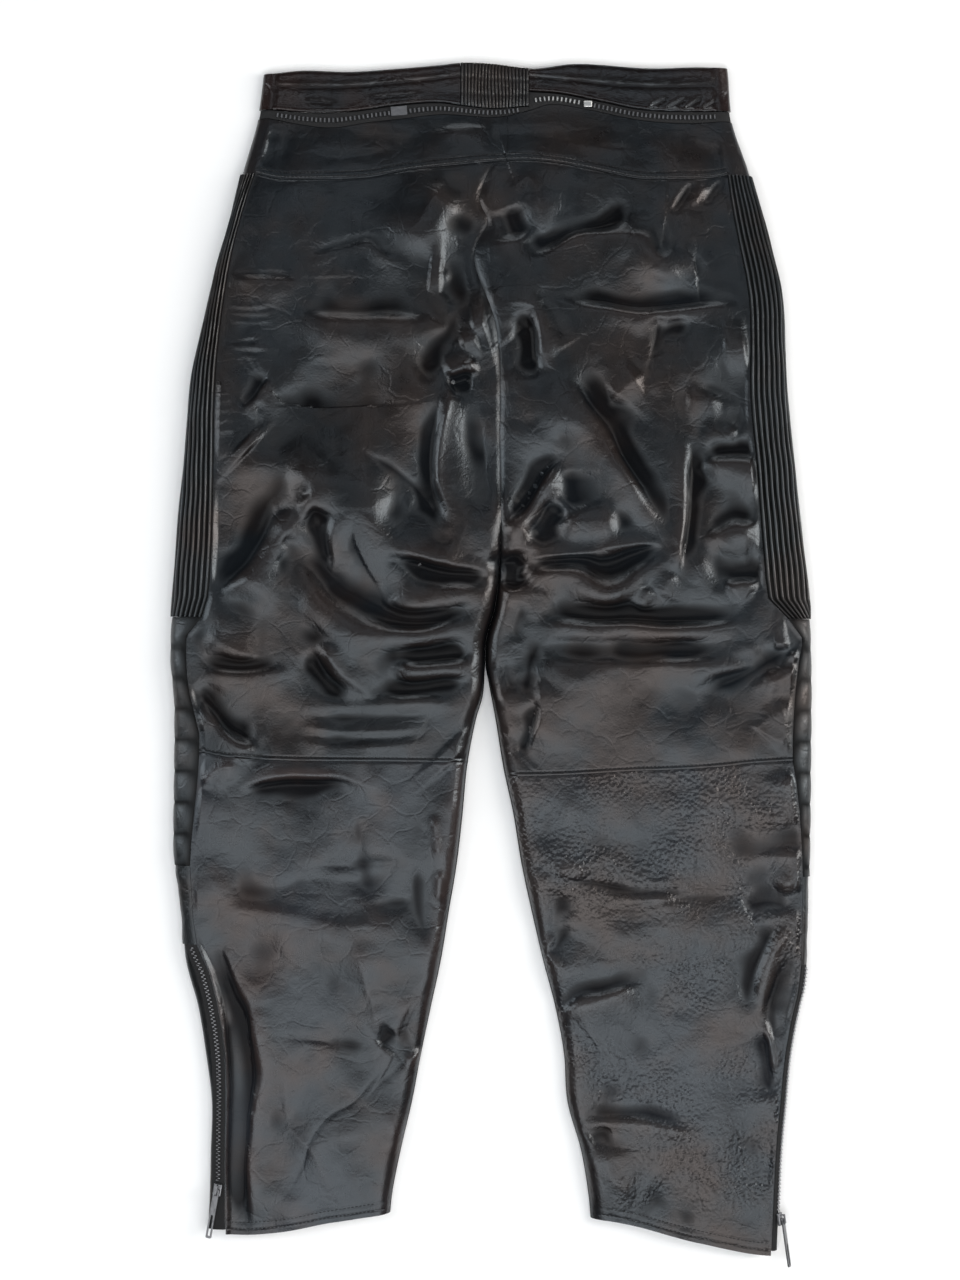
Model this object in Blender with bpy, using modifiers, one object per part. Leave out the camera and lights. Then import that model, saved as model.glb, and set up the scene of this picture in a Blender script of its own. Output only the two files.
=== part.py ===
"""Leather motorcycle trousers, laid flat on their front, so that the back faces up.

Frame: +X to the right of the picture, +Y to the waist, +Z up. The front panels lie on z = 0. Tables and
sizes are in millimetres and the meshes in metres.
"""

import math

import bmesh
import bpy
import numpy as np

MM = 0.001

# Leather and how the panels lie
WALL = 1.5  # one layer of leather
SEAM_GAP = 0.3  # between two pieces at a seam
EDGE_HEIGHT = 2.3  # of a back panel's rolled edge, just above the front panel
LOWEST_BACK = 9.5  # of the deepest fold in the back panels
SEAM_ROLL = 13.0  # width of the roll beside an inner edge
NARROWEST_TURN = 6.0  # in plan, where the cloth turns down at the outer side
LOWER_TURN = 9.0  # radius of the turn's lower half
TURN_MIDDLE = 0.45  # height of the outermost point, as a share of the panel's height
UNDERLAP = 16.0  # flat stretch of a side piece under the leg
LIFT_ENDS = 4.0  # before the underlap, where a lifted piece comes down to the table
LINING_ABOVE = 1.9  # least height of a back panel's inner side, clear of the front panel
SEAM_FADE = 16.0  # folds die out in this width beside the outer seam

# Ribs and quilting
RIBS = 10  # in each side piece, from its seam to where it lies on the table
RIB_FLAT = 4.0  # plain stretch between the last rib and the flat underlap
RIB_HEIGHT = 1.3
QUILT_PITCH = 27.5
QUILT_FLAT = 3.0
QUILT_HEIGHT = 2.2
SHIRR_RIBS = 20
SHIRR_HEIGHT = 1.4
SHIRR_SPAN = (-28.0, 33.0)  # x of the shirred piece's two sides

# Waistband, and the connection zip between it and the yoke. Lifts are from the line of the panels
BAND_THICK = 2.2
BAND_LIFT = 0.7
TAPE_THICK = 0.6
TAPE_LIFT = -0.8
TAPE_GAPS = (4, 4)  # above and below the tape, as half seam gaps
TAPES_MEET = 33.0  # x where the two tapes meet
CHAIN_THICK = 1.1
CHAIN_LIFT = 0.6
CHAIN_WIDTH = 3.4
CHAIN_SPANS = {"left": (-190.0, 24.0), "right": (37.0, 198.0)}
CONNECTION_SLIDER = (7.5, 5.5, 2.4)
CONNECTION_SLIDER_X = 85.0

# Calf zips
GUSSET_THICK = 1.0
GUSSET_LIFT = -1.3
CALF_TAPE_LIFT = -0.25
CHAIN_HALF = 2.0
CHAIN_ARC = 6.4  # from the calf panel's edge to the middle of the teeth
TAPE_ARCS = np.linspace(0.8, 13.0, 7)  # lengths from the calf panel's edge
SLIDER_CLEAR = 0.7  # above the line of the panels, so that it clears the curved tape
SLIDER_WIDTH = 7.6
SLIDER_LENGTH = 11.0
SLIDER_THICK = 3.0
ARCH_WIDTH = 1.6
ARCH_LENGTH = 8.4
ARCH_BAR = 1.3
ARCH_CLEAR = 2.4  # height of the space under the arch
PULL_WIDTH = 5.2
PULL_LENGTH = 43.0
PULL_THICK = 1.4
PULL_BAR = 1.2
PULL_EYE = (2.5, 4.4)  # width and length of the eye round the arch
PULL_SLOT = (2.2, 19.0, 1.8)  # width, length and distance from the tip of the slot in the pull's end

# Outlines, from the waist down. Columns: y, x
LEFT_OUTLINE = (
    (531, -201), (522, -202), (480, -208), (437, -220), (395, -230), (352, -242), (310, -252), (257, -264),
    (193, -270), (129, -276), (65, -281), (2, -284), (-34, -281), (-94, -281), (-179, -281), (-221, -276),
    (-264, -273), (-306, -262), (-349, -255), (-391, -250), (-434, -251), (-476, -252), (-510, -254),
)
RIGHT_OUTLINE = (
    (531, 208), (522, 209), (480, 213), (437, 227), (395, 239), (363, 247), (331, 255), (278, 258),
    (214, 262), (172, 267), (129, 271), (65, 279), (2, 282), (-94, 282), (-179, 281), (-242, 280), (-285, 278),
    (-306, 273), (-349, 265), (-391, 261), (-434, 257), (-476, 255), (-530, 253),
)
CENTRE_SEAM = (
    (443, 2), (427, -6), (409, -11), (389, -4), (373, -12), (358, -16), (338, -11), (316, -2), (294, 4),
    (188, 7), (90, 7), (50, 3), (20, -5), (-3, -6),
)
LEFT_INSEAM = (
    (-3, -6), (-30, -8), (-51, -14), (-94, -22), (-136, -26), (-179, -31), (-221, -38), (-264, -45),
    (-306, -54), (-349, -63), (-391, -71), (-434, -81), (-476, -89), (-500, -91),
)
RIGHT_INSEAM = (
    (-3, -6), (-30, -1), (-51, 3), (-94, 10), (-136, 19), (-179, 26), (-221, 35), (-264, 45), (-306, 56),
    (-349, 64), (-391, 67), (-434, 79), (-476, 86), (-500, 88),
)
YOKE_CENTRE = 14.0

# Inner edge of the side pieces: ribs, knee, shin and calf zip. Columns: y, x
LEFT_SIDE_SEAM = (
    (531, -191), (480, -198), (437, -208), (409, -217), (373, -227), (338, -234), (303, -239), (267, -243),
    (232, -245), (161, -246), (90, -248), (55, -251), (42, -254), (32, -266), (2, -270), (-34, -266),
    (-60, -259), (-87, -259), (-122, -262), (-179, -267), (-211, -265), (-246, -262), (-277, -249),
    (-317, -240), (-349, -236), (-441, -236), (-510, -236),
)
RIGHT_SIDE_SEAM = (
    (531, 198), (480, 202), (431, 208), (396, 213), (365, 219), (329, 226), (300, 228), (232, 228),
    (179, 233), (126, 237), (90, 240), (55, 244), (44, 248), (33, 272), (11, 272), (-25, 268), (-60, 266),
    (-91, 266), (-113, 270), (-149, 273), (-184, 275), (-246, 276), (-299, 271), (-335, 266), (-366, 260),
    (-388, 256), (-432, 252), (-476, 250), (-530, 248),
)

# Lines across. Columns: x, y
BAND_TOP = (
    (-215, 519), (-204, 520), (-170, 524), (-126, 523), (-81, 526), (-46, 529), (-28, 531), (0, 530),
    (36, 526), (73, 530), (140, 526), (184, 527), (215, 526),
)
BAND_BOTTOM_LEFT = (
    (-215, 490), (-201, 490), (-161, 487), (-126, 488), (-81, 494), (-46, 496), (-30, 494), (0, 491),
    (32, 493),
)
BAND_BOTTOM_RIGHT = ((32, 506), (60, 504), (96, 497), (131, 490), (175, 488), (220, 489))
TAPE_BOTTOM = (
    (-220, 481), (-204, 482), (-170, 476), (-143, 473), (-108, 478), (-81, 481), (-46, 485), (7, 483),
    (34, 489), (51, 494), (87, 489), (131, 480), (175, 477), (220, 480),
)
YOKE_SEAM = (
    (-235, 435), (-219, 434), (-188, 427), (-143, 427), (-108, 429), (-81, 434), (-37, 439), (4, 443),
    (30, 444), (60, 441), (96, 434), (131, 427), (166, 427), (193, 428), (215, 432), (240, 435),
)
LEFT_KNEE_SEAM = ((-285, -80), (-258, -80), (-232, -84), (-204, -86), (-81, -88), (0, -89))
RIGHT_KNEE_SEAM = ((0, -101), (60, -100), (113, -97), (184, -94), (237, -89), (290, -86))
LEFT_HEM = ((-260, -502), (-236, -507), (-196, -506), (-143, -497), (-85, -488))
RIGHT_HEM = ((80, -493), (113, -497), (184, -515), (246, -526), (260, -524))

# Height of the back panels above the table. Columns: y, height
PLATEAU = (
    (531, 11), (490, 11), (470, 13), (430, 17), (370, 20), (280, 22), (100, 23), (0, 22), (-90, 20),
    (-200, 18), (-350, 15), (-460, 14), (-530, 13),
)

# The largest folds. Columns: height (minus for a valley), width, then the line's points as x, y
FOLDS = (
    # left seat and thigh
    (-3, 14, (-232, 342), (-170, 340)),
    (3, 22, (-135, 325), (-46, 325)),
    (-4, 8, (-227, 223), (-204, 245), (-192, 254)),
    (-6, 20, (-170, 188), (-196, 126), (-240, 60)),
    (5, 12, (-172, 145), (-183, 112), (-185, 90)),
    (-4, 10, (-161, 126), (-143, 81)),
    (7, 11, (-139, 84), (-136, 117), (-121, 128), (-81, 104), (-46, 93), (4, 86)),
    (-6, 10, (-108, 104), (-81, 77), (-37, 68), (3, 77)),
    (-8, 11, (-183, 99), (-143, 55), (-126, 37), (-64, 30), (-11, 37)),
    (4, 10, (-81, 13), (-15, 6)),
    (6, 10, (-152, 19), (-130, -3), (-104, -34)),
    (-4, 12, (-175, 4), (-132, -27)),
    (5, 9, (-183, -44), (-55, -41), (-42, -56)),
    (-4, 9, (-179, -63), (-55, -62)),
    (4, 9, (-254, -47), (-227, -69), (-204, -78)),
    (5, 10, (-77, 369), (-59, 387), (-46, 413), (-37, 431)),
    (5, 9, (-57, 332), (-42, 351)),
    (-7, 13, (-15, 382), (-19, 338), (-46, 285), (-77, 236)),
    (11, 8, (-43, 256), (-35, 236), (-40, 214), (-46, 188), (-46, 152), (-35, 126)),
    (-8, 8, (-64, 240), (-61, 188), (-55, 150), (-36, 108), (-40, 92)),
    (-8, 8, (-15, 234), (-13, 161), (0, 117)),
    (5, 8, (-24, 132), (-4, 106)),
    # right seat and thigh
    (4, 9, (7, 418), (25, 419), (36, 424), (42, 396)),
    (-4, 9, (12, 404), (20, 373)),
    (-5, 9, (25, 369), (69, 378), (96, 391), (122, 404)),
    (4, 12, (42, 354), (91, 376)),
    (5, 9, (131, 373), (140, 358), (153, 354), (165, 365), (171, 375)),
    (-3, 9, (56, 322), (131, 311), (227, 320)),
    (8, 9, (10, 321), (36, 313), (43, 281), (49, 262)),
    (-7, 8, (24, 305), (29, 262), (24, 240)),
    (-8, 18, (60, 258), (96, 214), (131, 161), (149, 126), (166, 104)),
    (4, 10, (135, 256), (104, 232)),
    (6, 8, (164, 212), (165, 117), (160, 75)),
    (-5, 8, (178, 205), (178, 117), (173, 75)),
    (4, 9, (175, 234), (206, 212)),
    (-9, 11, (14, 106), (20, 66)),
    (7, 9, (25, 97), (104, 94), (158, 106)),
    (-5, 8, (30, 80), (96, 79), (158, 92)),
    (5, 9, (22, 58), (50, 66), (104, 62), (150, 74)),
    (7, 9, (10, 112), (34, 132), (56, 172)),
    (5, 10, (12, 206), (12, 150)),
    (-6, 8, (38, 190), (16, 126)),
    (-7, 9, (34, 38), (166, 36), (224, 39)),
    (4, 11, (34, 18), (166, 14), (224, 20)),
    # left calf
    (3, 10, (-227, -109), (-170, -100), (-90, -112)),
    (-4, 10, (-247, -264), (-220, -317), (-214, -388), (-221, -476)),
    (3, 9, (-203, -299), (-194, -388), (-199, -476)),
    (-3, 10, (-121, -131), (-108, -211)),
    (-4, 9, (-68, -180), (-58, -250)),
    (-2, 9, (-196, -330), (-99, -339), (-70, -346)),
    # right calf
    (-3, 9, (69, -184), (131, -206), (237, -202)),
    (-4, 9, (46, -262), (73, -220)),
    (-4, 10, (55, -320), (77, -288), (131, -273)),
    (-3, 10, (72, -388), (98, -370), (144, -308)),
    (-3, 9, (75, -404), (131, -403), (184, -414)),
    (3, 9, (96, -426), (109, -458), (131, -470)),
)

# Front, which lies on the table and is plain: y of its cross seams, and the fly's width and foot
FRONT_WAIST = 489.0
FRONT_KNEE_TOP = 34.0
FRONT_KNEE_FOOT = -184.0
FRONT_GAP = 0.9  # beside the side pieces, under the leg
FLY_HALF = 17.0
FLY_FOOT = 305.0
FRONT_CENTRE = 4.0
LEGS_PART = 188.0  # y above which the front's two halves meet on one line

# Where each side's pieces meet, as y
SIDES = {
    "left": {
        "sign": -1,
        "outline": LEFT_OUTLINE,
        "inseam": LEFT_INSEAM,
        "side_seam": LEFT_SIDE_SEAM,
        "knee_seam": LEFT_KNEE_SEAM,
        "hem": LEFT_HEM,
        "band_bottom": BAND_BOTTOM_LEFT,
        "rib_foot": 40.0,
        "knee_foot": -180.0,
        "zip_top": -250.0,
        "hem_side": -503.0,
        "slider": -467.0,
        "pull_turn": 10.0,
    },
    "right": {
        "sign": 1,
        "outline": RIGHT_OUTLINE,
        "inseam": RIGHT_INSEAM,
        "side_seam": RIGHT_SIDE_SEAM,
        "knee_seam": RIGHT_KNEE_SEAM,
        "hem": RIGHT_HEM,
        "band_bottom": BAND_BOTTOM_RIGHT,
        "rib_foot": 38.0,
        "knee_foot": -190.0,
        "zip_top": -268.0,
        "hem_side": -522.0,
        "slider": -494.0,
        "pull_turn": 8.0,
    },
}

# Rows of points along the side, between the places where its pieces meet
SIDE_ROWS = (
    ("yoke_side", "rib_foot", 22),
    ("rib_foot", "knee_side", 7),
    ("knee_side", "knee_foot", 5),
    ("knee_foot", "zip_top", 3),
    ("zip_top", "hem_side", 10),
)
CROTCH = -3.0
CROTCH_ROWS = 24

# Columns: name, colour, roughness, metallic
MATERIALS = {
    "leather": ((0.030, 0.031, 0.036), 0.42, 0.0),
    "elastic": ((0.024, 0.024, 0.028), 0.55, 0.0),
    "zip_tape": ((0.012, 0.012, 0.013), 0.8, 0.0),
    "zip_metal": ((0.07, 0.07, 0.075), 0.35, 1.0),
    "bright_metal": ((0.75, 0.74, 0.72), 0.25, 1.0),
}


def smooth(table, at):
    """Values of a two-column table at the places asked, on one smooth curve through its rows."""
    rows = np.array(sorted(table), float)
    place, value = rows[:, 0], rows[:, 1]
    steps = np.diff(value) / np.diff(place)
    slope = np.concatenate([steps[:1], (steps[:-1] + steps[1:]) / 2, steps[-1:]])
    at = np.clip(np.asarray(at, float), place[0], place[-1])
    left = np.clip(np.searchsorted(place, at, side="right") - 1, 0, len(place) - 2)
    width = place[left + 1] - place[left]
    t = (at - place[left]) / width
    return (
        (2 * t**3 - 3 * t**2 + 1) * value[left]
        + (t**3 - 2 * t**2 + t) * width * slope[left]
        + (3 * t**2 - 2 * t**3) * value[left + 1]
        + (t**3 - t**2) * width * slope[left + 1]
    )


def crossing(line, seam, near_y):
    """y where a line across meets a line down."""
    return float(smooth(line, smooth(seam, near_y)))


for its in SIDES.values():
    its["yoke_side"] = crossing(YOKE_SEAM, its["side_seam"], 431.0)
    its["knee_side"] = crossing(its["knee_seam"], its["side_seam"], -84.0)


def ease(low, high, value):
    t = np.clip((value - low) / (high - low), 0, 1)
    return t * t * (3 - 2 * t)


def fold_line(points, steps=4):
    """A fold's points on one smooth line."""
    points = np.array(points, float)
    if len(points) == 2:
        return points
    count = np.arange(len(points))
    fine = np.linspace(0, len(points) - 1, steps * (len(points) - 1) + 1)
    columns = [smooth(list(zip(count, points[:, axis])), fine) for axis in (0, 1)]
    return np.stack(columns, axis=1)


def fold_height(height, width, points, x, y):
    """A soft ridge or trough along a line, rounded across it and dying out at both ends."""
    line = fold_line(points)
    nearest = np.full(np.shape(x), np.inf)
    for start, end in zip(line[:-1], line[1:]):
        run = end - start
        along = ((x - start[0]) * run[0] + (y - start[1]) * run[1]) / (run @ run)
        along = np.clip(along, 0, 1)
        away = np.hypot(x - start[0] - along * run[0], y - start[1] - along * run[1])
        nearest = np.minimum(nearest, away)
    return height * np.exp(-((nearest / width) ** 2))


def outline(side, y):
    return smooth(SIDES[side]["outline"], y)


def inner(side, y):
    """Inner edge of a side's back panels: the centre seam, and below the crotch the inside leg."""
    return np.where(np.asarray(y) > CROTCH, smooth(CENTRE_SEAM, y), smooth(SIDES[side]["inseam"], y))


def side_rows(side, first, last, split=1):
    """Heights of the rows of points from one meeting place on the side to another, from the top down."""
    its = SIDES[side]
    found, taking = [its[first]], False
    for start, end, count in SIDE_ROWS:
        taking = taking or start == first
        if taking:
            steps = count * split
            found += [its[start] + (its[end] - its[start]) * (k + 1) / steps for k in range(steps)]
        if end == last:
            return np.array(found)


def side_seam(side, y):
    """Inner edge of the side pieces, straight between rows so that both its sides follow the same line."""
    sign = SIDES[side]["sign"]
    rows = np.concatenate([[540.0, 500.0, 470.0, 450.0], side_rows(side, "yoke_side", "hem_side"), [-535.0]])
    most = sign * smooth(SIDES[side]["outline"], rows) - NARROWEST_TURN
    seam = sign * np.minimum(sign * smooth(SIDES[side]["side_seam"], rows), most)
    return np.interp(-np.asarray(y, float), -rows, seam)


def back_height(side, x, y):
    """Height of the back's outer surface: a plateau with folds, rolled down beside the inner edge."""
    sign = SIDES[side]["sign"]
    folds = sum(fold_height(height, width, points, x, y) for height, width, *points in FOLDS)
    folds = folds * ease(0, SEAM_FADE, sign * (side_seam(side, y) - x)) * ease(470, 440, y)
    raised = np.maximum(smooth(PLATEAU, y) + folds, LOWEST_BACK)
    roll = ease(140, 20, y)
    dip = 0.1 * ease(443, 420, y)
    share = np.clip(sign * (x - inner(side, y)) / SEAM_ROLL, 0, 1)
    shallow = 1 - (1 - share) ** 2
    round_edge = np.sqrt(shallow)
    profile = 1 - dip * (1 - roll) * (1 - shallow) - roll * (1 - round_edge)
    return EDGE_HEIGHT + (raised - EDGE_HEIGHT) * profile


def back_normal(side, x, y, step=0.4):
    """Unit normals of the back's outer surface."""
    slope_x = (back_height(side, x + step, y) - back_height(side, x - step, y)) / (2 * step)
    slope_y = (back_height(side, x, y + step) - back_height(side, x, y - step)) / (2 * step)
    normal = np.stack([-slope_x, -slope_y, np.ones_like(slope_x)], axis=-1)
    return normal / np.linalg.norm(normal, axis=-1, keepdims=True)


def turn_section(side, y, steps=24):
    """The cloth's turn at the outer side: points from its seam over the edge and back under the leg.

    Returns the points, the outward normals and the length along the section, in the plane of y.
    """
    sign = SIDES[side]["sign"]
    seam = float(side_seam(side, y))
    edge = float(outline(side, y))
    top = float(smooth(PLATEAU, y))
    middle = TURN_MIDDLE * top
    across = abs(edge - seam)
    low_across = min(LOWER_TURN, across)
    angle = np.linspace(math.pi / 2, 0, steps)
    upper = np.stack([edge - sign * across * (1 - np.cos(angle)), middle + (top - middle) * np.sin(angle)], 1)
    angle = np.linspace(0, -math.pi / 2, steps)[1:]
    lower = np.stack([edge - sign * low_across * (1 - np.cos(angle)), middle + middle * np.sin(angle)], 1)
    flat = np.stack([edge - sign * (low_across + np.linspace(0, UNDERLAP, 5)[1:]), np.zeros(4)], 1)
    points = np.concatenate([upper, lower, flat])
    run = np.gradient(points, axis=0)
    normals = np.stack([-sign * run[:, 1], sign * run[:, 0]], 1)
    normals /= np.linalg.norm(normals, axis=1, keepdims=True)
    length = np.concatenate([[0], np.cumsum(np.hypot(*np.diff(points, axis=0).T))])
    return points, normals, length


def turn_points(side, y, arcs, lift):
    """Points on the turn at each length from the seam, moved out by lift."""
    points, normals, length = turn_section(side, y)
    arcs = np.asarray(arcs, float)
    placed = [np.interp(arcs, length, points[:, axis]) for axis in (0, 1)]
    normal = [np.interp(arcs, length, normals[:, axis]) for axis in (0, 1)]
    size = np.hypot(*normal)
    x = placed[0] + lift * normal[0] / size
    z = np.maximum(placed[1] + lift * normal[1] / size, 0)
    return np.stack([x, np.full_like(x, y), z], axis=1)


def turn_length(side, y):
    """Length of the turn, from its seam to its end under the leg."""
    return turn_section(side, y)[2][-1]


def under_end(side, y):
    """Where the side piece ends under the leg, and the front panel begins."""
    sign = SIDES[side]["sign"]
    across = np.abs(outline(side, y) - side_seam(side, y))
    return outline(side, y) - sign * (np.minimum(LOWER_TURN, across) + UNDERLAP)


trousers = bpy.data.collections.new("motorcycle_trousers")


def material(name):
    found = bpy.data.materials.get(name)
    if found:
        return found
    colour, roughness, metallic = MATERIALS[name]
    made = bpy.data.materials.new(name)
    made.use_nodes = True
    shader = made.node_tree.nodes["Principled BSDF"]
    shader.inputs["Base Color"].default_value = (*colour, 1)
    shader.inputs["Roughness"].default_value = roughness
    shader.inputs["Metallic"].default_value = metallic
    return made


def add_object(name, data, slot):
    made = bpy.data.objects.new(name, data)
    data.materials.append(material(slot))
    trousers.objects.link(made)
    return made


def loft(name, outer_rows, inner_rows, slot):
    """A closed wall between rows of outer points and rows of inner points."""
    outer_count, inner_count = len(outer_rows[0]), len(inner_rows[0])
    shape = bmesh.new()
    rings = []
    for outer_row, inner_row in zip(outer_rows, inner_rows):
        ring = [*outer_row, *inner_row[::-1]]
        rings.append([shape.verts.new([value * MM for value in point]) for point in ring])
    around = len(rings[0])
    for ring, following in zip(rings[:-1], rings[1:]):
        for k in range(around):
            after = (k + 1) % around
            shape.faces.new((ring[k], ring[after], following[after], following[k]))
    for ring in (rings[0], rings[-1]):
        if outer_count == inner_count:
            for k in range(outer_count - 1):
                shape.faces.new((ring[k], ring[k + 1], ring[around - 2 - k], ring[around - 1 - k]))
        else:
            shape.faces.new(ring)
    bmesh.ops.recalc_face_normals(shape, faces=shape.faces)
    mesh = bpy.data.meshes.new(name)
    shape.to_mesh(mesh)
    shape.free()
    mesh.shade_smooth()
    mesh.set_sharp_from_angle(angle=math.radians(50))
    return add_object(name, mesh, slot)


def ends_at(line, edges, shares, offset):
    """y of a line across, at each share of the way between two edges that depend on y."""
    y = np.full(len(shares), float(np.mean([value for _, value in line])))
    for _ in range(8):
        low, high = edges(y)
        y = smooth(line, low + (high - low) * shares) + offset
    return y


def spread_rows(upper, lower, count, near_rows=None, far_rows=None):
    """y of each point of a panel. Its rows run between given heights on both edges, and bend to the
    lines at its top and foot."""
    shares = np.linspace(0, 1, len(upper))
    near_rows = np.linspace(upper[0], lower[0], count + 1) if near_rows is None else np.array(near_rows)
    far_rows = np.linspace(upper[-1], lower[-1], count + 1) if far_rows is None else np.array(far_rows)
    near_rows[0], near_rows[-1] = upper[0], lower[0]
    far_rows[0], far_rows[-1] = upper[-1], lower[-1]
    found = []
    for k in range(count + 1):
        down = k / count
        straight = near_rows[k] * (1 - shares) + far_rows[k] * shares
        top_bend = upper - (upper[0] * (1 - shares) + upper[-1] * shares)
        foot_bend = lower - (lower[0] * (1 - shares) + lower[-1] * shares)
        found.append(straight + top_bend * (1 - down) + foot_bend * down)
    return found


def panel(name, side, top, foot, shares, count, *, near=None, far=None, thickness=WALL, lift=0.0, turn=0,
          slot="leather", gaps=(1, 1), near_rows=None, far_rows=None):
    """A back panel between two lines across, from its near edge to its far edge.

    With turn, the panel goes on round the outer side in that many steps, to its end under the leg.
    """
    sign = SIDES[side]["sign"]
    half = SEAM_GAP / 2

    def edges(y):
        y = np.asarray(y, float)
        first = (near(y) if near else inner(side, y)) + sign * half
        last = (far(y) if far else side_seam(side, y)) - (0 if turn else sign * half)
        return np.broadcast_to(first, y.shape), np.broadcast_to(last, y.shape)

    shares = np.asarray(shares, float)
    upper = ends_at(top, edges, shares, -half * gaps[0])
    lower = ends_at(foot, edges, shares, half * gaps[1])
    outer_rows, inner_rows = [], []
    for y in spread_rows(upper, lower, count, near_rows, far_rows):
        first, last = edges(y)
        x = first + (last - first) * shares
        normal = back_normal(side, x, y)
        skin = np.stack([x, y, back_height(side, x, y)], axis=1) + lift * normal
        lining = skin - thickness * normal
        lining[:, 2] = np.maximum(lining[:, 2], LINING_ABOVE)
        if turn:
            length = turn_length(side, y[-1])
            arcs = np.linspace(0, length, turn + 1)[1:]
            proud = np.where(arcs < length - UNDERLAP - LIFT_ENDS, lift, 0.0)
            skin = np.concatenate([skin, turn_points(side, y[-1], arcs, proud)])
            lining = np.concatenate([lining, turn_points(side, y[-1], arcs, proud - thickness)])
        outer_rows.append(skin)
        inner_rows.append(lining)
    return loft(name, outer_rows, inner_rows, slot)


def even(count):
    return np.linspace(0, 1, count + 1)


def seat_shares(count, width):
    """Steps across a panel, closer together over the rolled inner edge."""
    close = np.array([0, 0.8, 3.0, 7.0, SEAM_ROLL]) / width
    return np.concatenate([close, np.linspace(close[-1], 1, count + 1)[1:]])


def side_piece(name, side, ys, profile, *, thickness=WALL, first=0.0, last=None, lift=0.0, slot="leather",
               inside=9):
    """A piece on the outer side with its rows at the heights ys. Its profile gives the length along the
    turn and how far the skin is raised there."""
    ys = np.concatenate([[ys[0] - SEAM_GAP / 2], ys[1:-1], [ys[-1] + SEAM_GAP / 2]])
    outer_rows, inner_rows = [], []
    for y in ys:
        end = turn_length(side, y) if last is None else last
        arcs, raised = profile(first + SEAM_GAP / 2, end, y)
        outer_rows.append(turn_points(side, y, arcs, lift + raised))
        inner_arcs = np.linspace(arcs[0], arcs[-1], inside) if inside else arcs
        inner_rows.append(turn_points(side, y, inner_arcs, lift - thickness))
    return loft(name, outer_rows, inner_rows, slot)


def plain_profile(count):
    def profile(first, last, y):
        arcs = np.linspace(first, last, count + 1)
        return arcs, np.zeros(count + 1)

    return profile


def gusset_profile(first, last, y):
    """The same places under the tape as the tape itself has, then evenly on to the end."""
    arcs = np.append(TAPE_ARCS, np.linspace(TAPE_ARCS[-1], last, 4)[1:])
    return arcs, np.zeros(len(arcs))


def tape_profile(first, last, y):
    return TAPE_ARCS, np.zeros(len(TAPE_ARCS))


def ribbed_profile():
    """Lengthwise ribs over the upper turn and round the edge, plain where the piece lies on the table."""
    def profile(first, last, y):
        floor = last - UNDERLAP - RIB_FLAT
        arcs = np.linspace(first, floor, 2 * RIBS + 1)
        raised = np.where(np.arange(2 * RIBS + 1) % 2, RIB_HEIGHT, 0.0)
        return np.append(arcs, [floor + RIB_FLAT, last]), np.append(raised, [0.0, 0.0])

    return profile


def quilted_profile(top):
    """Pads one above the other, with a sewn channel between them, plain where the piece lies flat."""
    def profile(first, last, y):
        floor = last - UNDERLAP - QUILT_FLAT
        arcs = np.linspace(first, floor, 7)
        pad = abs(math.sin(math.pi * (top - y) / QUILT_PITCH)) ** 0.6
        across = np.sin(np.linspace(0, math.pi, 7)) ** 0.5
        return np.append(arcs, [floor + QUILT_FLAT, last]), np.append(QUILT_HEIGHT * pad * across, [0.0, 0.0])

    return profile


def line_at(line, x, offset):
    """y of a line across, which is a table or one value, at each x."""
    return (smooth(line, x) if isinstance(line, tuple) else np.full(np.shape(x), line)) + offset


def front_piece(name, near, far, top, foot, rows, thickness=WALL, columns=2, gaps=(1, 1)):
    """A flat front piece on the table, between a line above and one below, and two edges that depend on
    y."""
    shares = even(columns)
    upper = lower = np.full(columns + 1, float(np.mean(top if np.isscalar(top) else np.array(top)[:, 1])))
    for _ in range(4):
        upper = line_at(top, near(upper) + (far(upper) - near(upper)) * shares, -gaps[0] * SEAM_GAP / 2)
        lower = line_at(foot, near(lower) + (far(lower) - near(lower)) * shares, gaps[1] * SEAM_GAP / 2)
    outer_rows, inner_rows = [], []
    for down in even(rows):
        y = upper * (1 - down) + lower * down
        x = near(y) + (far(y) - near(y)) * shares
        outer_rows.append(np.stack([x, y, np.full_like(x, thickness)], axis=1))
        inner_rows.append(np.stack([x, y, np.zeros_like(x)], axis=1))
    return loft(name, outer_rows, inner_rows, "leather")


def waist():
    """Waistband halves, and the shirred piece between them."""
    edges = dict(zip(SIDES, SHIRR_SPAN))
    for side, its in SIDES.items():

        def beside_shirring(y):
            return np.full(np.shape(y), edges[side])

        panel(f"waistband_{side}", side, BAND_TOP, its["band_bottom"], even(10), 4, near=beside_shirring,
              thickness=BAND_THICK, lift=BAND_LIFT, turn=10, gaps=(0, 1))
    shirring()


def shirring():
    """The gathered stretch piece at the centre back: upright ribs on a plain inside."""
    left, right = SHIRR_SPAN
    x = np.linspace(left + SEAM_GAP / 2, right - SEAM_GAP / 2, 2 * SHIRR_RIBS + 1)
    raised = np.where(np.arange(len(x)) % 2, SHIRR_HEIGHT, 0.0)
    plain_x = np.linspace(x[0], x[-1], 5)
    top = smooth(BAND_TOP, x)
    foot = smooth(BAND_BOTTOM_LEFT, x) + SEAM_GAP / 2
    outer_rows, inner_rows = [], []
    for down in even(3):
        y = top + (foot - top) * down
        plain_y = np.interp(plain_x, x, y)
        outer_rows.append(np.stack([x, y, smooth(PLATEAU, y) + raised], axis=1))
        inner_rows.append(np.stack([plain_x, plain_y, smooth(PLATEAU, plain_y) - BAND_THICK], axis=1))
    loft("waist_shirring", outer_rows, inner_rows, "elastic")


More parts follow.
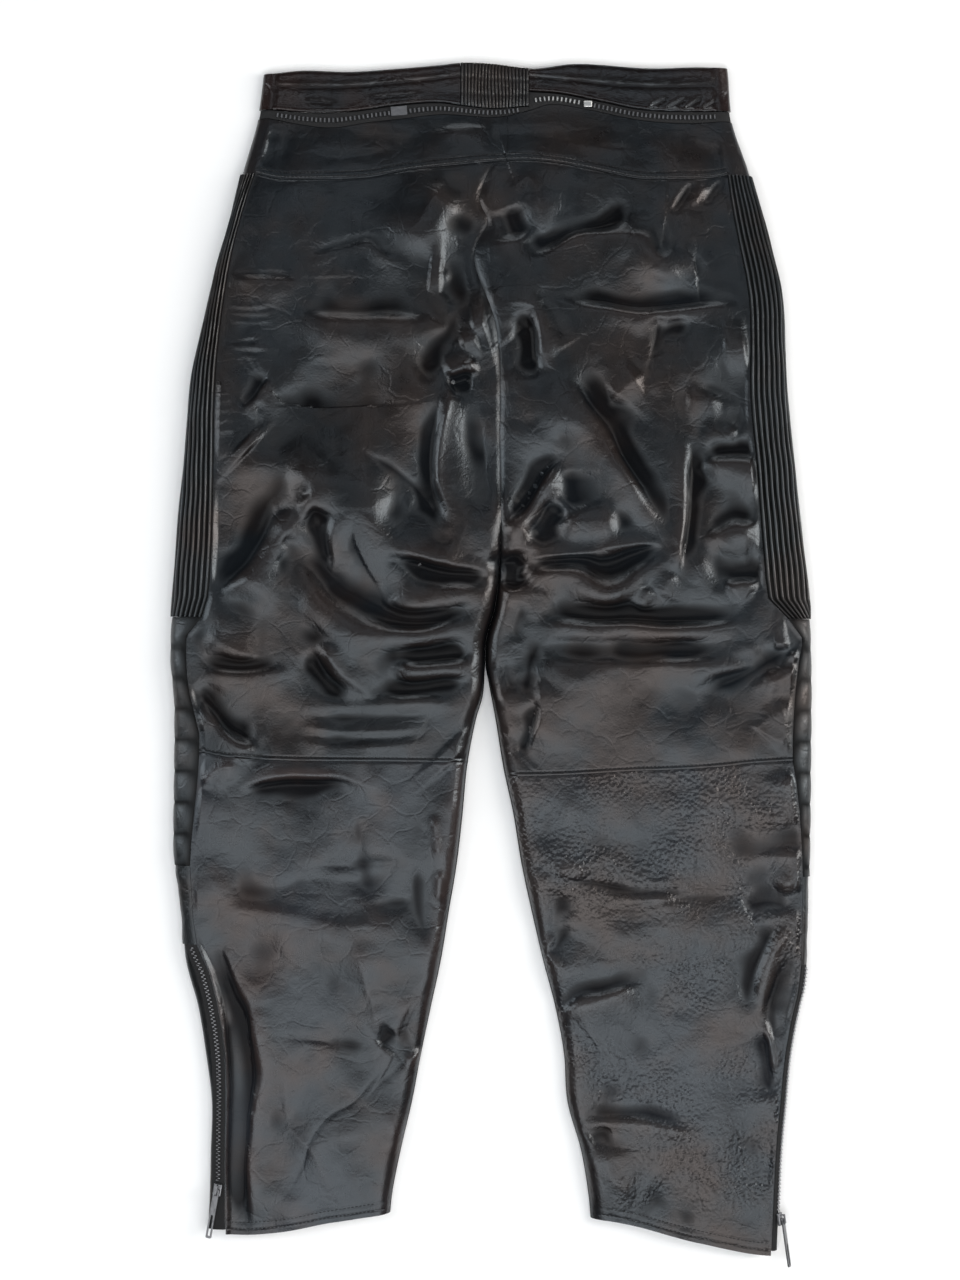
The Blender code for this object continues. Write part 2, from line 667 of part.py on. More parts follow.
def connection_zip():
    """The zip that joins a jacket to the trousers: two tapes with their rows of teeth, and its slider."""

    def tapes_meet(y):
        return np.full(np.shape(y), TAPES_MEET)

    for side, its in SIDES.items():
        panel(f"connection_tape_{side}", side, its["band_bottom"], TAPE_BOTTOM, even(10), 1, near=tapes_meet,
              thickness=TAPE_THICK, lift=TAPE_LIFT, turn=10, slot="zip_tape", gaps=TAPE_GAPS)
        x = np.linspace(*CHAIN_SPANS[side], 13)
        middle = (smooth(TAPE_BOTTOM, x) + smooth(its["band_bottom"], x)) / 2
        outer_rows, inner_rows = [], []
        for place, y in zip(x, middle):
            across = y + CHAIN_WIDTH * np.array([0.5, 0.0, -0.5])
            z = smooth(PLATEAU, across) + CHAIN_LIFT
            outer_rows.append(np.stack([np.full(3, place), across, z], axis=1))
            inner_rows.append(np.stack([np.full(3, place), across, z - CHAIN_THICK], axis=1))
        loft(f"connection_chain_{side}", outer_rows, inner_rows, "zip_metal")
    x = CONNECTION_SLIDER_X
    y = float(smooth(TAPE_BOTTOM, x) + smooth(BAND_BOTTOM_RIGHT, x)) / 2
    base = float(smooth(PLATEAU, y)) + CHAIN_LIFT + SEAM_GAP
    centre = (x, y, base + CONNECTION_SLIDER[2] / 2)
    box("connection_slider", centre, CONNECTION_SLIDER, "bright_metal", bevel=0.7)


def box(name, centre, size, slot, bevel=0.0):
    bpy.ops.mesh.primitive_cube_add(size=1, location=[value * MM for value in centre])
    made = bpy.context.object
    made.name = name
    made.scale = [value * MM for value in size]
    bpy.ops.object.transform_apply(location=False, rotation=False, scale=True)
    for collection in made.users_collection:
        collection.objects.unlink(made)
    trousers.objects.link(made)
    made.data.materials.append(material(slot))
    if bevel:
        edge = made.modifiers.new("edges", "BEVEL")
        edge.width = bevel * MM
        edge.segments = 2
    return made


def yokes():

    def centre(y):
        return np.full(np.shape(y), YOKE_CENTRE)

    for side in SIDES:
        panel(f"yoke_{side}", side, TAPE_BOTTOM, YOKE_SEAM, even(12), 4, near=centre, turn=10)


def seats():
    top = float(smooth(YOKE_SEAM, 2.0))
    for side, its in SIDES.items():
        far_rows = side_rows(side, "yoke_side", "knee_side")
        count = len(far_rows) - 1
        leg_foot = float(smooth(its["knee_seam"], 0.0))
        leg_rows = np.linspace(CROTCH, leg_foot, count - CROTCH_ROWS + 1)[1:]
        near_rows = np.concatenate([np.linspace(top, CROTCH, CROTCH_ROWS + 1), leg_rows])
        panel(f"seat_{side}", side, YOKE_SEAM, its["knee_seam"], seat_shares(13, 240.0), count,
              near_rows=near_rows, far_rows=far_rows)


def calves():
    for side, its in SIDES.items():
        far_rows = side_rows(side, "knee_side", "hem_side")
        panel(f"calf_{side}", side, its["knee_seam"], its["hem"], seat_shares(9, 200.0), len(far_rows) - 1,
              gaps=(1, 0), far_rows=far_rows)


def sides():
    """The pieces that turn round each outer side: ribs, quilted knee, shin and zip gusset."""
    for side, its in SIDES.items():
        side_piece(f"rib_side_{side}", side, side_rows(side, "yoke_side", "rib_foot"), ribbed_profile())
        side_piece(f"knee_side_{side}", side, side_rows(side, "rib_foot", "knee_foot", 2),
                   quilted_profile(its["rib_foot"]), inside=7)
        side_piece(f"shin_side_{side}", side, side_rows(side, "knee_foot", "zip_top"), plain_profile(9),
                   inside=0)
        side_piece(f"gusset_{side}", side, side_rows(side, "zip_top", "hem_side"), gusset_profile,
                   thickness=GUSSET_THICK, lift=GUSSET_LIFT, inside=0)


def calf_zips():
    """Each calf's zip: its tape on the gusset, its teeth on the tape, and the slider with its pull."""
    for side, its in SIDES.items():
        rows = side_rows(side, "zip_top", "hem_side")
        chain_foot = its["slider"] + SLIDER_LENGTH / 2 + SEAM_GAP
        chain_rows = np.append(rows[rows > chain_foot + 4], chain_foot)
        side_piece(f"calf_tape_{side}", side, rows, tape_profile, thickness=TAPE_THICK,
                   lift=CALF_TAPE_LIFT, slot="zip_tape", inside=0)
        side_piece(f"calf_chain_{side}", side, chain_rows, plain_profile(2), thickness=CHAIN_THICK,
                   first=CHAIN_ARC - CHAIN_HALF, last=CHAIN_ARC + CHAIN_HALF, lift=CHAIN_THICK,
                   slot="zip_metal", inside=0)
        slider(side)


def flat_outline(name, loops, thickness, slot):
    """A flat plate from closed outlines, all but the first one holes."""
    data = bpy.data.curves.new(name, "CURVE")
    data.dimensions = "2D"
    data.fill_mode = "BOTH"
    data.extrude = thickness / 2 * MM
    for points in loops:
        spline = data.splines.new("POLY")
        spline.points.add(len(points) - 1)
        for point, (x, y) in zip(spline.points, points):
            point.co = (x * MM, y * MM, 0, 1)
        spline.use_cyclic_u = True
    return add_object(name, data, slot)


def round_box(x0, x1, y0, y1, radius, steps=3):
    """Corners of a rectangle with round corners, in order."""
    corners = ((x1 - radius, y1 - radius, 0), (x0 + radius, y1 - radius, 90),
               (x0 + radius, y0 + radius, 180), (x1 - radius, y0 + radius, 270))
    points = []
    for x, y, start in corners:
        for step in range(steps + 1):
            angle = math.radians(start + 90 * step / steps)
            points.append((x + radius * math.cos(angle), y + radius * math.sin(angle)))
    return points


def to_mesh(made):
    """The object's evaluated shape as a plain mesh, its loose caps welded."""
    bpy.context.view_layer.update()
    evaluated = made.evaluated_get(bpy.context.evaluated_depsgraph_get())
    mesh = bpy.data.meshes.new_from_object(evaluated)
    shape = bmesh.new()
    shape.from_mesh(mesh)
    bmesh.ops.remove_doubles(shape, verts=shape.verts, dist=1e-6)
    bmesh.ops.recalc_face_normals(shape, faces=shape.faces)
    shape.to_mesh(mesh)
    shape.free()
    name, place = made.name, made.matrix_world.copy()
    bpy.data.objects.remove(made)
    fresh = bpy.data.objects.new(name, mesh)
    fresh.matrix_world = place
    trousers.objects.link(fresh)
    return fresh


def slider(side):
    """The slider sits on the tape below the last teeth. Its arch holds the pull's eye, and the pull turns
    about the bar that passes under the arch."""
    its = SIDES[side]
    foot = turn_points(side, its["slider"], [CHAIN_ARC], 0.0)[0]
    above = turn_points(side, its["slider"], [CHAIN_ARC], 1.0)[0]
    tilt = math.atan2(above[0] - foot[0], above[2] - foot[2])
    lean = math.radians(its["pull_turn"]) * its["sign"]
    place = bpy.data.objects.new(f"slider_place_{side}", None)
    place.location = [value * MM for value in foot]
    place.rotation_euler = (0, tilt, lean)
    trousers.objects.link(place)
    base = SLIDER_CLEAR
    size = (SLIDER_WIDTH, SLIDER_LENGTH, SLIDER_THICK)
    body = box(f"calf_slider_{side}", (0, 0, base + SLIDER_THICK / 2), size, "zip_metal", bevel=0.8)
    top = base + SLIDER_THICK
    reach = ARCH_LENGTH / 2
    arch = flat_outline(
        f"arch_{side}",
        (
            round_box(-reach, reach, top - 1.0, top + ARCH_CLEAR + ARCH_BAR, 0.6),
            round_box(-reach + ARCH_BAR, reach - ARCH_BAR, top, top + ARCH_CLEAR, 0.4)[::-1],
        ),
        ARCH_WIDTH, "zip_metal",
    )
    arch.rotation_euler = (math.radians(90), 0, math.radians(90))
    arch = to_mesh(arch)
    arch.parent = place
    arch.hide_render = True
    arch.display_type = "WIRE"
    body.parent = place
    join = body.modifiers.new("arch", "BOOLEAN")
    join.operation = "UNION"
    join.object = arch
    hinge = top + ARCH_CLEAR / 2
    wide, long_eye = PULL_EYE
    slot_wide, slot_long, from_tip = PULL_SLOT
    slot_foot = from_tip - PULL_LENGTH
    pull = flat_outline(
        f"calf_pull_{side}",
        (
            round_box(-PULL_WIDTH / 2, PULL_WIDTH / 2, -PULL_LENGTH, PULL_BAR / 2, 1.2),
            round_box(-wide / 2, wide / 2, -PULL_BAR / 2 - long_eye, -PULL_BAR / 2, 0.3)[::-1],
            round_box(-slot_wide / 2, slot_wide / 2, slot_foot, slot_foot + slot_long, 1.0)[::-1],
        ),
        PULL_THICK, "zip_metal",
    )
    pull.location = (0, 0, hinge * MM)
    pull = to_mesh(pull)
    pull.parent = place


def front():
    """The plain front on the table: waistband halves, hips with the fly between them, thighs, knees and
    shins."""
    for side, its in SIDES.items():
        sign = its["sign"]
        gap = sign * SEAM_GAP / 2

        def far(y):
            return under_end(side, y) - sign * FRONT_GAP

        def fly_edge(y):
            return np.full(np.shape(y), FRONT_CENTRE + sign * FLY_HALF + gap)

        def centre(y):
            return np.full(np.shape(y), FRONT_CENTRE + gap)

        def leg(y):
            return inner(side, np.minimum(y, LEGS_PART)) + gap

        front_piece(f"front_waistband_{side}", centre, far, BAND_TOP, FRONT_WAIST, 4, BAND_THICK, 8, (0, 1))
        front_piece(f"front_hip_{side}", fly_edge, far, FRONT_WAIST, FLY_FOOT, 9)
        front_piece(f"front_thigh_{side}", leg, far, FLY_FOOT, FRONT_KNEE_TOP, 9)
        front_piece(f"front_knee_{side}", leg, far, FRONT_KNEE_TOP, FRONT_KNEE_FOOT, 7)
        front_piece(f"front_shin_{side}", leg, far, FRONT_KNEE_FOOT, its["hem"], 10, columns=3, gaps=(1, 0))

    def fly_left(y):
        return np.full(np.shape(y), FRONT_CENTRE - FLY_HALF + SEAM_GAP / 2)

    def fly_right(y):
        return np.full(np.shape(y), FRONT_CENTRE + FLY_HALF - SEAM_GAP / 2)

    front_piece("fly", fly_left, fly_right, FRONT_WAIST, FLY_FOOT, 4)


def clear_scene():
    for old in list(bpy.data.objects):
        bpy.data.objects.remove(old)


def main():
    clear_scene()
    bpy.context.scene.collection.children.link(trousers)
    waist()
    connection_zip()
    yokes()
    seats()
    sides()
    calves()
    calf_zips()
    front()


main()
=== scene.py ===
"""Looks of the leather motorcycle trousers, laid flat on their front.

Frame: +X to the right of the picture, +Y to the waist, +Z up. Tables are in millimetres, or in pixels of
the photograph where they say so. Meshes, lights, the camera and the materials' cells are in metres.
"""

import math

import bmesh
import bpy
import numpy as np
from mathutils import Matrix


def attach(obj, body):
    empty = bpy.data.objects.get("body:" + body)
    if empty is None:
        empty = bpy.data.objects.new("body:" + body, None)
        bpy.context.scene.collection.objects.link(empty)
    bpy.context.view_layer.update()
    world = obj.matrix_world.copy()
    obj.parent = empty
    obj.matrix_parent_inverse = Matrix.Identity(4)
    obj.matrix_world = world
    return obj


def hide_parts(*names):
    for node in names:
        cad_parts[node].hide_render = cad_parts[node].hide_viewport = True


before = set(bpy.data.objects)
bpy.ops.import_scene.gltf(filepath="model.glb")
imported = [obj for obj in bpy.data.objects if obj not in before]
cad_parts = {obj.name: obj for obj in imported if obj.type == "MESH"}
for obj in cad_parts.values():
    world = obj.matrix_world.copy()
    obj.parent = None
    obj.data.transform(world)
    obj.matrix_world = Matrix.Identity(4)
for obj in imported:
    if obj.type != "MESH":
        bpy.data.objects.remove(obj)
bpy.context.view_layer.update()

MM = 0.001
BODY = "trousers"

# The photograph: millimetres to a pixel, and the pixel at the frame's origin
PIXEL = 0.885
PHOTO_ORIGIN = (492, 662)
PHOTO_SIZE = (960, 1280)

# Leather and how the panels lie, as in the solids
WALL = 1.5
SEAM_GAP = 0.3
EDGE_HEIGHT = 2.3  # of the back at its inner edge
LOWEST_BACK = 9.5
SEAM_ROLL = 13.0  # how far from its inner edge the back is rolled down
NARROWEST_TURN = 6.0  # least width of the turn over the outer side
LOWER_TURN = 9.0  # its width below the outer edge
TURN_MIDDLE = 0.45  # height of the outer edge, as a share of the back's
UNDERLAP = 16.0  # how far a turned piece goes on under the leg
TURN_LENGTH = 70.0  # about the longest way round the outer side
GUSSET_THICK = 1.0
GUSSET_LIFT = -1.3  # below the leather beside it
RIBS = 10
RIB_FLAT = 4.0
RIB_HEIGHT = 2.5
QUILT_PITCH = 27.5
QUILT_FLAT = 3.0
QUILT_HEIGHT = 1.3
SHIRR_RIBS = 20
SHIRR_HEIGHT = 2.0
BAND_THICK = 2.2
BAND_LIFT = 0.7
SHIRR_SPAN = (-28.0, 33.0)
YOKE_CENTRE = 14.0
CROTCH = -3.0
TAPE_ARCS = (0.8, 13.0)
TAPE_THICK = 0.6
TAPE_LIFT = -0.8
TAPE_GAPS = (4, 4)
TAPES_MEET = 33.0
CALF_TAPE_LIFT = -0.25
CHAIN_ARC = 6.4
WAIST_PITCH = 3.8
WAIST_TOOTH = (1.7, 4.6, 1.3)
CALF_PITCH = 1.7
CALF_TOOTH = (1.15, 2.5, 1.1)
CALF_STAGGER = 0.9  # of a tooth to either side of the chain's middle
TAB_BLOCKS = ((-83.0, (13.0, 8.0, 1.4)), (-76.0, (1.3, 8.0, 1.7)))  # x and size
TAB_SLOPE = 0.07
LEFT_TEETH = (-190, 24)  # x at the ends of each covered chain
RIGHT_TEETH = (91, 198)
BRIGHT_START = 39  # x of the first bare tooth
BRIGHT_COUNT = 11
UP = np.array([0, 0, 1.0])
FRONT_WAIST = 489.0
FRONT_KNEE_TOP = 34.0
FRONT_KNEE_FOOT = -184.0
FRONT_GAP = 0.9
FLY_HALF = 17.0
FLY_FOOT = 305.0
FRONT_CENTRE = 4.0

# Rows of stitches, as heights above their seam or hem
YOKE_ROWS = (2.8, 6.6)
KNEE_ROWS = (3.4,)
HEM_ROWS = (5.0, 11.0)
YOKE_ENDS = (2, 2)  # how far the rows end from the piece's near and outer edges
LEG_ENDS = (14, 3)

# Seams and the waistband's lower edge. Columns: height or depth, width
BEAD = (0.35, 1.1)
BEAD_ABOVE = 1.4  # from the seam's line
STEP = (0.4, 1.4)
GROOVE = (0.25, 0.8)
HEM_GROOVE = (0.3, 0.9)
CENTRE_GROOVE = (0.5, 2.4)
BAND_BEAD = (0.6, 1.1)
BAND_BEAD_ABOVE = 1.6
BAND_PAD = 1.3
BAND_DROP = 0.5  # how far the line between the pads lies below the band's plain face

# Changes down the back, each between two values of y
FOLDS_BEGIN = (478, 466)
CENTRE_BEGINS = (443, 438)
DIP_BEGINS = (443, 420)  # the back dips by a share of its height to the centre seam
DIP_SHARE = 0.1
ROLL_BEGINS = (140, 20)  # the inner edge becomes round

# Stitches: length with the gap after it, radius, height above the leather
STITCH_PITCH = 3.6
STITCH_RADIUS = 0.32
STITCH_LIFT = 0.15

# Cells of the meshes
PANEL_CELL = 1.4
EDGE_CELL = 0.6
EDGE_ZONE = 8.0  # width beside the seams with the small cells
INNER_STEP = 4  # cells of the outer side to one of the inner side
FRONT_CELL = 5.0

# How the folds in the tables below are made
FOLD_SPREAD = 13.0  # a flank this wide in the tables is made twice as wide
FOLD_REACH = 4  # in widths of a flank
FOLD_TAPER = 0.3  # share of its length in which a fold rises from either end
BROAD_LEAST = 2.0  # folds of this height and more also draw the cloth between them
BROAD = 30.0  # how far a fold draws the cloth where there is no other
BROAD_REACH = 85.0
BROAD_SHARE = 0.65
CREST_SHARE = 0.45
CREST_ROUND = 4.0

# Unevenness. Columns: height, length of its waves, seed
UNEVEN = ((1.2, 105, 3), (0.42, 58, 7), (0.09, 30, 5))
PRESSED = (0.12, 34, 11)
FOLD_CHANGES = (0.16, 80, 61)
SHIFTS = ((1.6, 70, 41), (1.2, 70, 43))
SIDE_UNEVEN = (0.35, 17, 21)
FRONT_UNEVEN = (0.12, 35, 31)
CALF_TOP = (-70, -110)  # the folds grow from the first of these heights to the second
CALF_MORE = 0.2

# Wear and painted shade, from 0 in hollows, which are painted darker, to 1 on worn ridges
EVEN_WEAR_AND_SHADE = 0.5
WEAR_AND_SHADE_BLUR = 13  # cells to each side that a point is compared with
WEAR_AND_SHADE_RANGE = 5.0

# Outlines, from the waist down. Columns: y, x
LEFT_OUTLINE = (
    (531, -201), (522, -202), (480, -208), (437, -220), (395, -230), (352, -242), (310, -252), (257, -264),
    (193, -270), (129, -276), (65, -281), (2, -284), (-34, -281), (-94, -281), (-179, -281), (-221, -276),
    (-264, -273), (-306, -262), (-349, -255), (-391, -250), (-434, -251), (-476, -252), (-510, -254),
)
RIGHT_OUTLINE = (
    (531, 208), (522, 209), (480, 213), (437, 227), (395, 239), (363, 247), (331, 255), (278, 258),
    (214, 262), (172, 267), (129, 271), (65, 279), (2, 282), (-94, 282), (-179, 281), (-242, 280),
    (-285, 278), (-306, 273), (-349, 265), (-391, 261), (-434, 257), (-476, 255), (-530, 253),
)
CENTRE_SEAM = (
    (443, 2), (427, -6), (409, -11), (389, -4), (373, -12), (358, -16), (338, -11), (316, -2), (294, 4),
    (188, 7), (90, 7), (50, 3), (20, -5), (-3, -6),
)
LEFT_INSEAM = (
    (-3, -6), (-30, -8), (-51, -14), (-94, -22), (-136, -26), (-179, -31), (-221, -38), (-264, -45),
    (-306, -54), (-349, -63), (-391, -71), (-434, -81), (-476, -89), (-500, -91),
)
RIGHT_INSEAM = (
    (-3, -6), (-30, -1), (-51, 3), (-94, 10), (-136, 19), (-179, 26), (-221, 35), (-264, 45), (-306, 56),
    (-349, 64), (-391, 67), (-434, 79), (-476, 86), (-500, 88),
)

# Inner edge of the side pieces. Columns: y, x
LEFT_SIDE_SEAM = (
    (531, -191), (480, -198), (437, -208), (409, -217), (373, -227), (338, -234), (303, -239), (267, -243),
    (232, -245), (161, -246), (90, -248), (55, -251), (42, -254), (32, -266), (2, -270), (-34, -266),
    (-60, -259), (-87, -259), (-122, -262), (-179, -267), (-211, -265), (-246, -262), (-277, -249),
    (-317, -240), (-349, -236), (-441, -236), (-510, -236),
)
RIGHT_SIDE_SEAM = (
    (531, 198), (480, 202), (431, 208), (396, 213), (365, 219), (329, 226), (300, 228), (232, 228),
    (179, 233), (126, 237), (90, 240), (55, 244), (44, 248), (33, 272), (11, 272), (-25, 268), (-60, 266),
    (-91, 266), (-113, 270), (-149, 273), (-184, 275), (-246, 276), (-299, 271), (-335, 266), (-366, 260),
    (-388, 256), (-432, 252), (-476, 250), (-530, 248),
)

# Lines across. Columns: x, y
BAND_TOP = (
    (-215, 519), (-204, 520), (-170, 524), (-126, 523), (-81, 526), (-46, 529), (-28, 531), (0, 530),
    (36, 526), (73, 530), (140, 526), (184, 527), (215, 526),
)
BAND_BOTTOM_LEFT = (
    (-215, 490), (-201, 490), (-161, 487), (-126, 488), (-81, 494), (-46, 496), (-30, 494), (0, 491),
    (32, 493),
)
BAND_BOTTOM_RIGHT = ((32, 506), (60, 504), (96, 497), (131, 490), (175, 488), (220, 489))
TAPE_BOTTOM = (
    (-220, 481), (-204, 482), (-170, 476), (-143, 473), (-108, 478), (-81, 481), (-46, 485), (7, 483),
    (34, 489), (51, 494), (87, 489), (131, 480), (175, 477), (220, 480),
)
YOKE_SEAM = (
    (-235, 435), (-219, 434), (-188, 427), (-143, 427), (-108, 429), (-81, 434), (-37, 439), (4, 443),
    (30, 444), (60, 441), (96, 434), (131, 427), (166, 427), (193, 428), (215, 432), (240, 435),
)
LEFT_KNEE_SEAM = ((-285, -80), (-258, -80), (-232, -84), (-204, -86), (-81, -88), (0, -89))
RIGHT_KNEE_SEAM = ((0, -101), (60, -100), (113, -97), (184, -94), (237, -89), (290, -86))
LEFT_HEM = ((-260, -502), (-236, -507), (-196, -506), (-143, -497), (-85, -488))
RIGHT_HEM = ((80, -493), (113, -497), (184, -515), (246, -526), (260, -524))

# Height of the back panels above the table. Columns: y, height
PLATEAU = (
    (531, 11), (490, 11), (470, 13), (430, 17), (370, 20), (280, 22), (100, 23), (0, 22), (-90, 20),
    (-200, 18), (-350, 15), (-460, 14), (-530, 13),
)

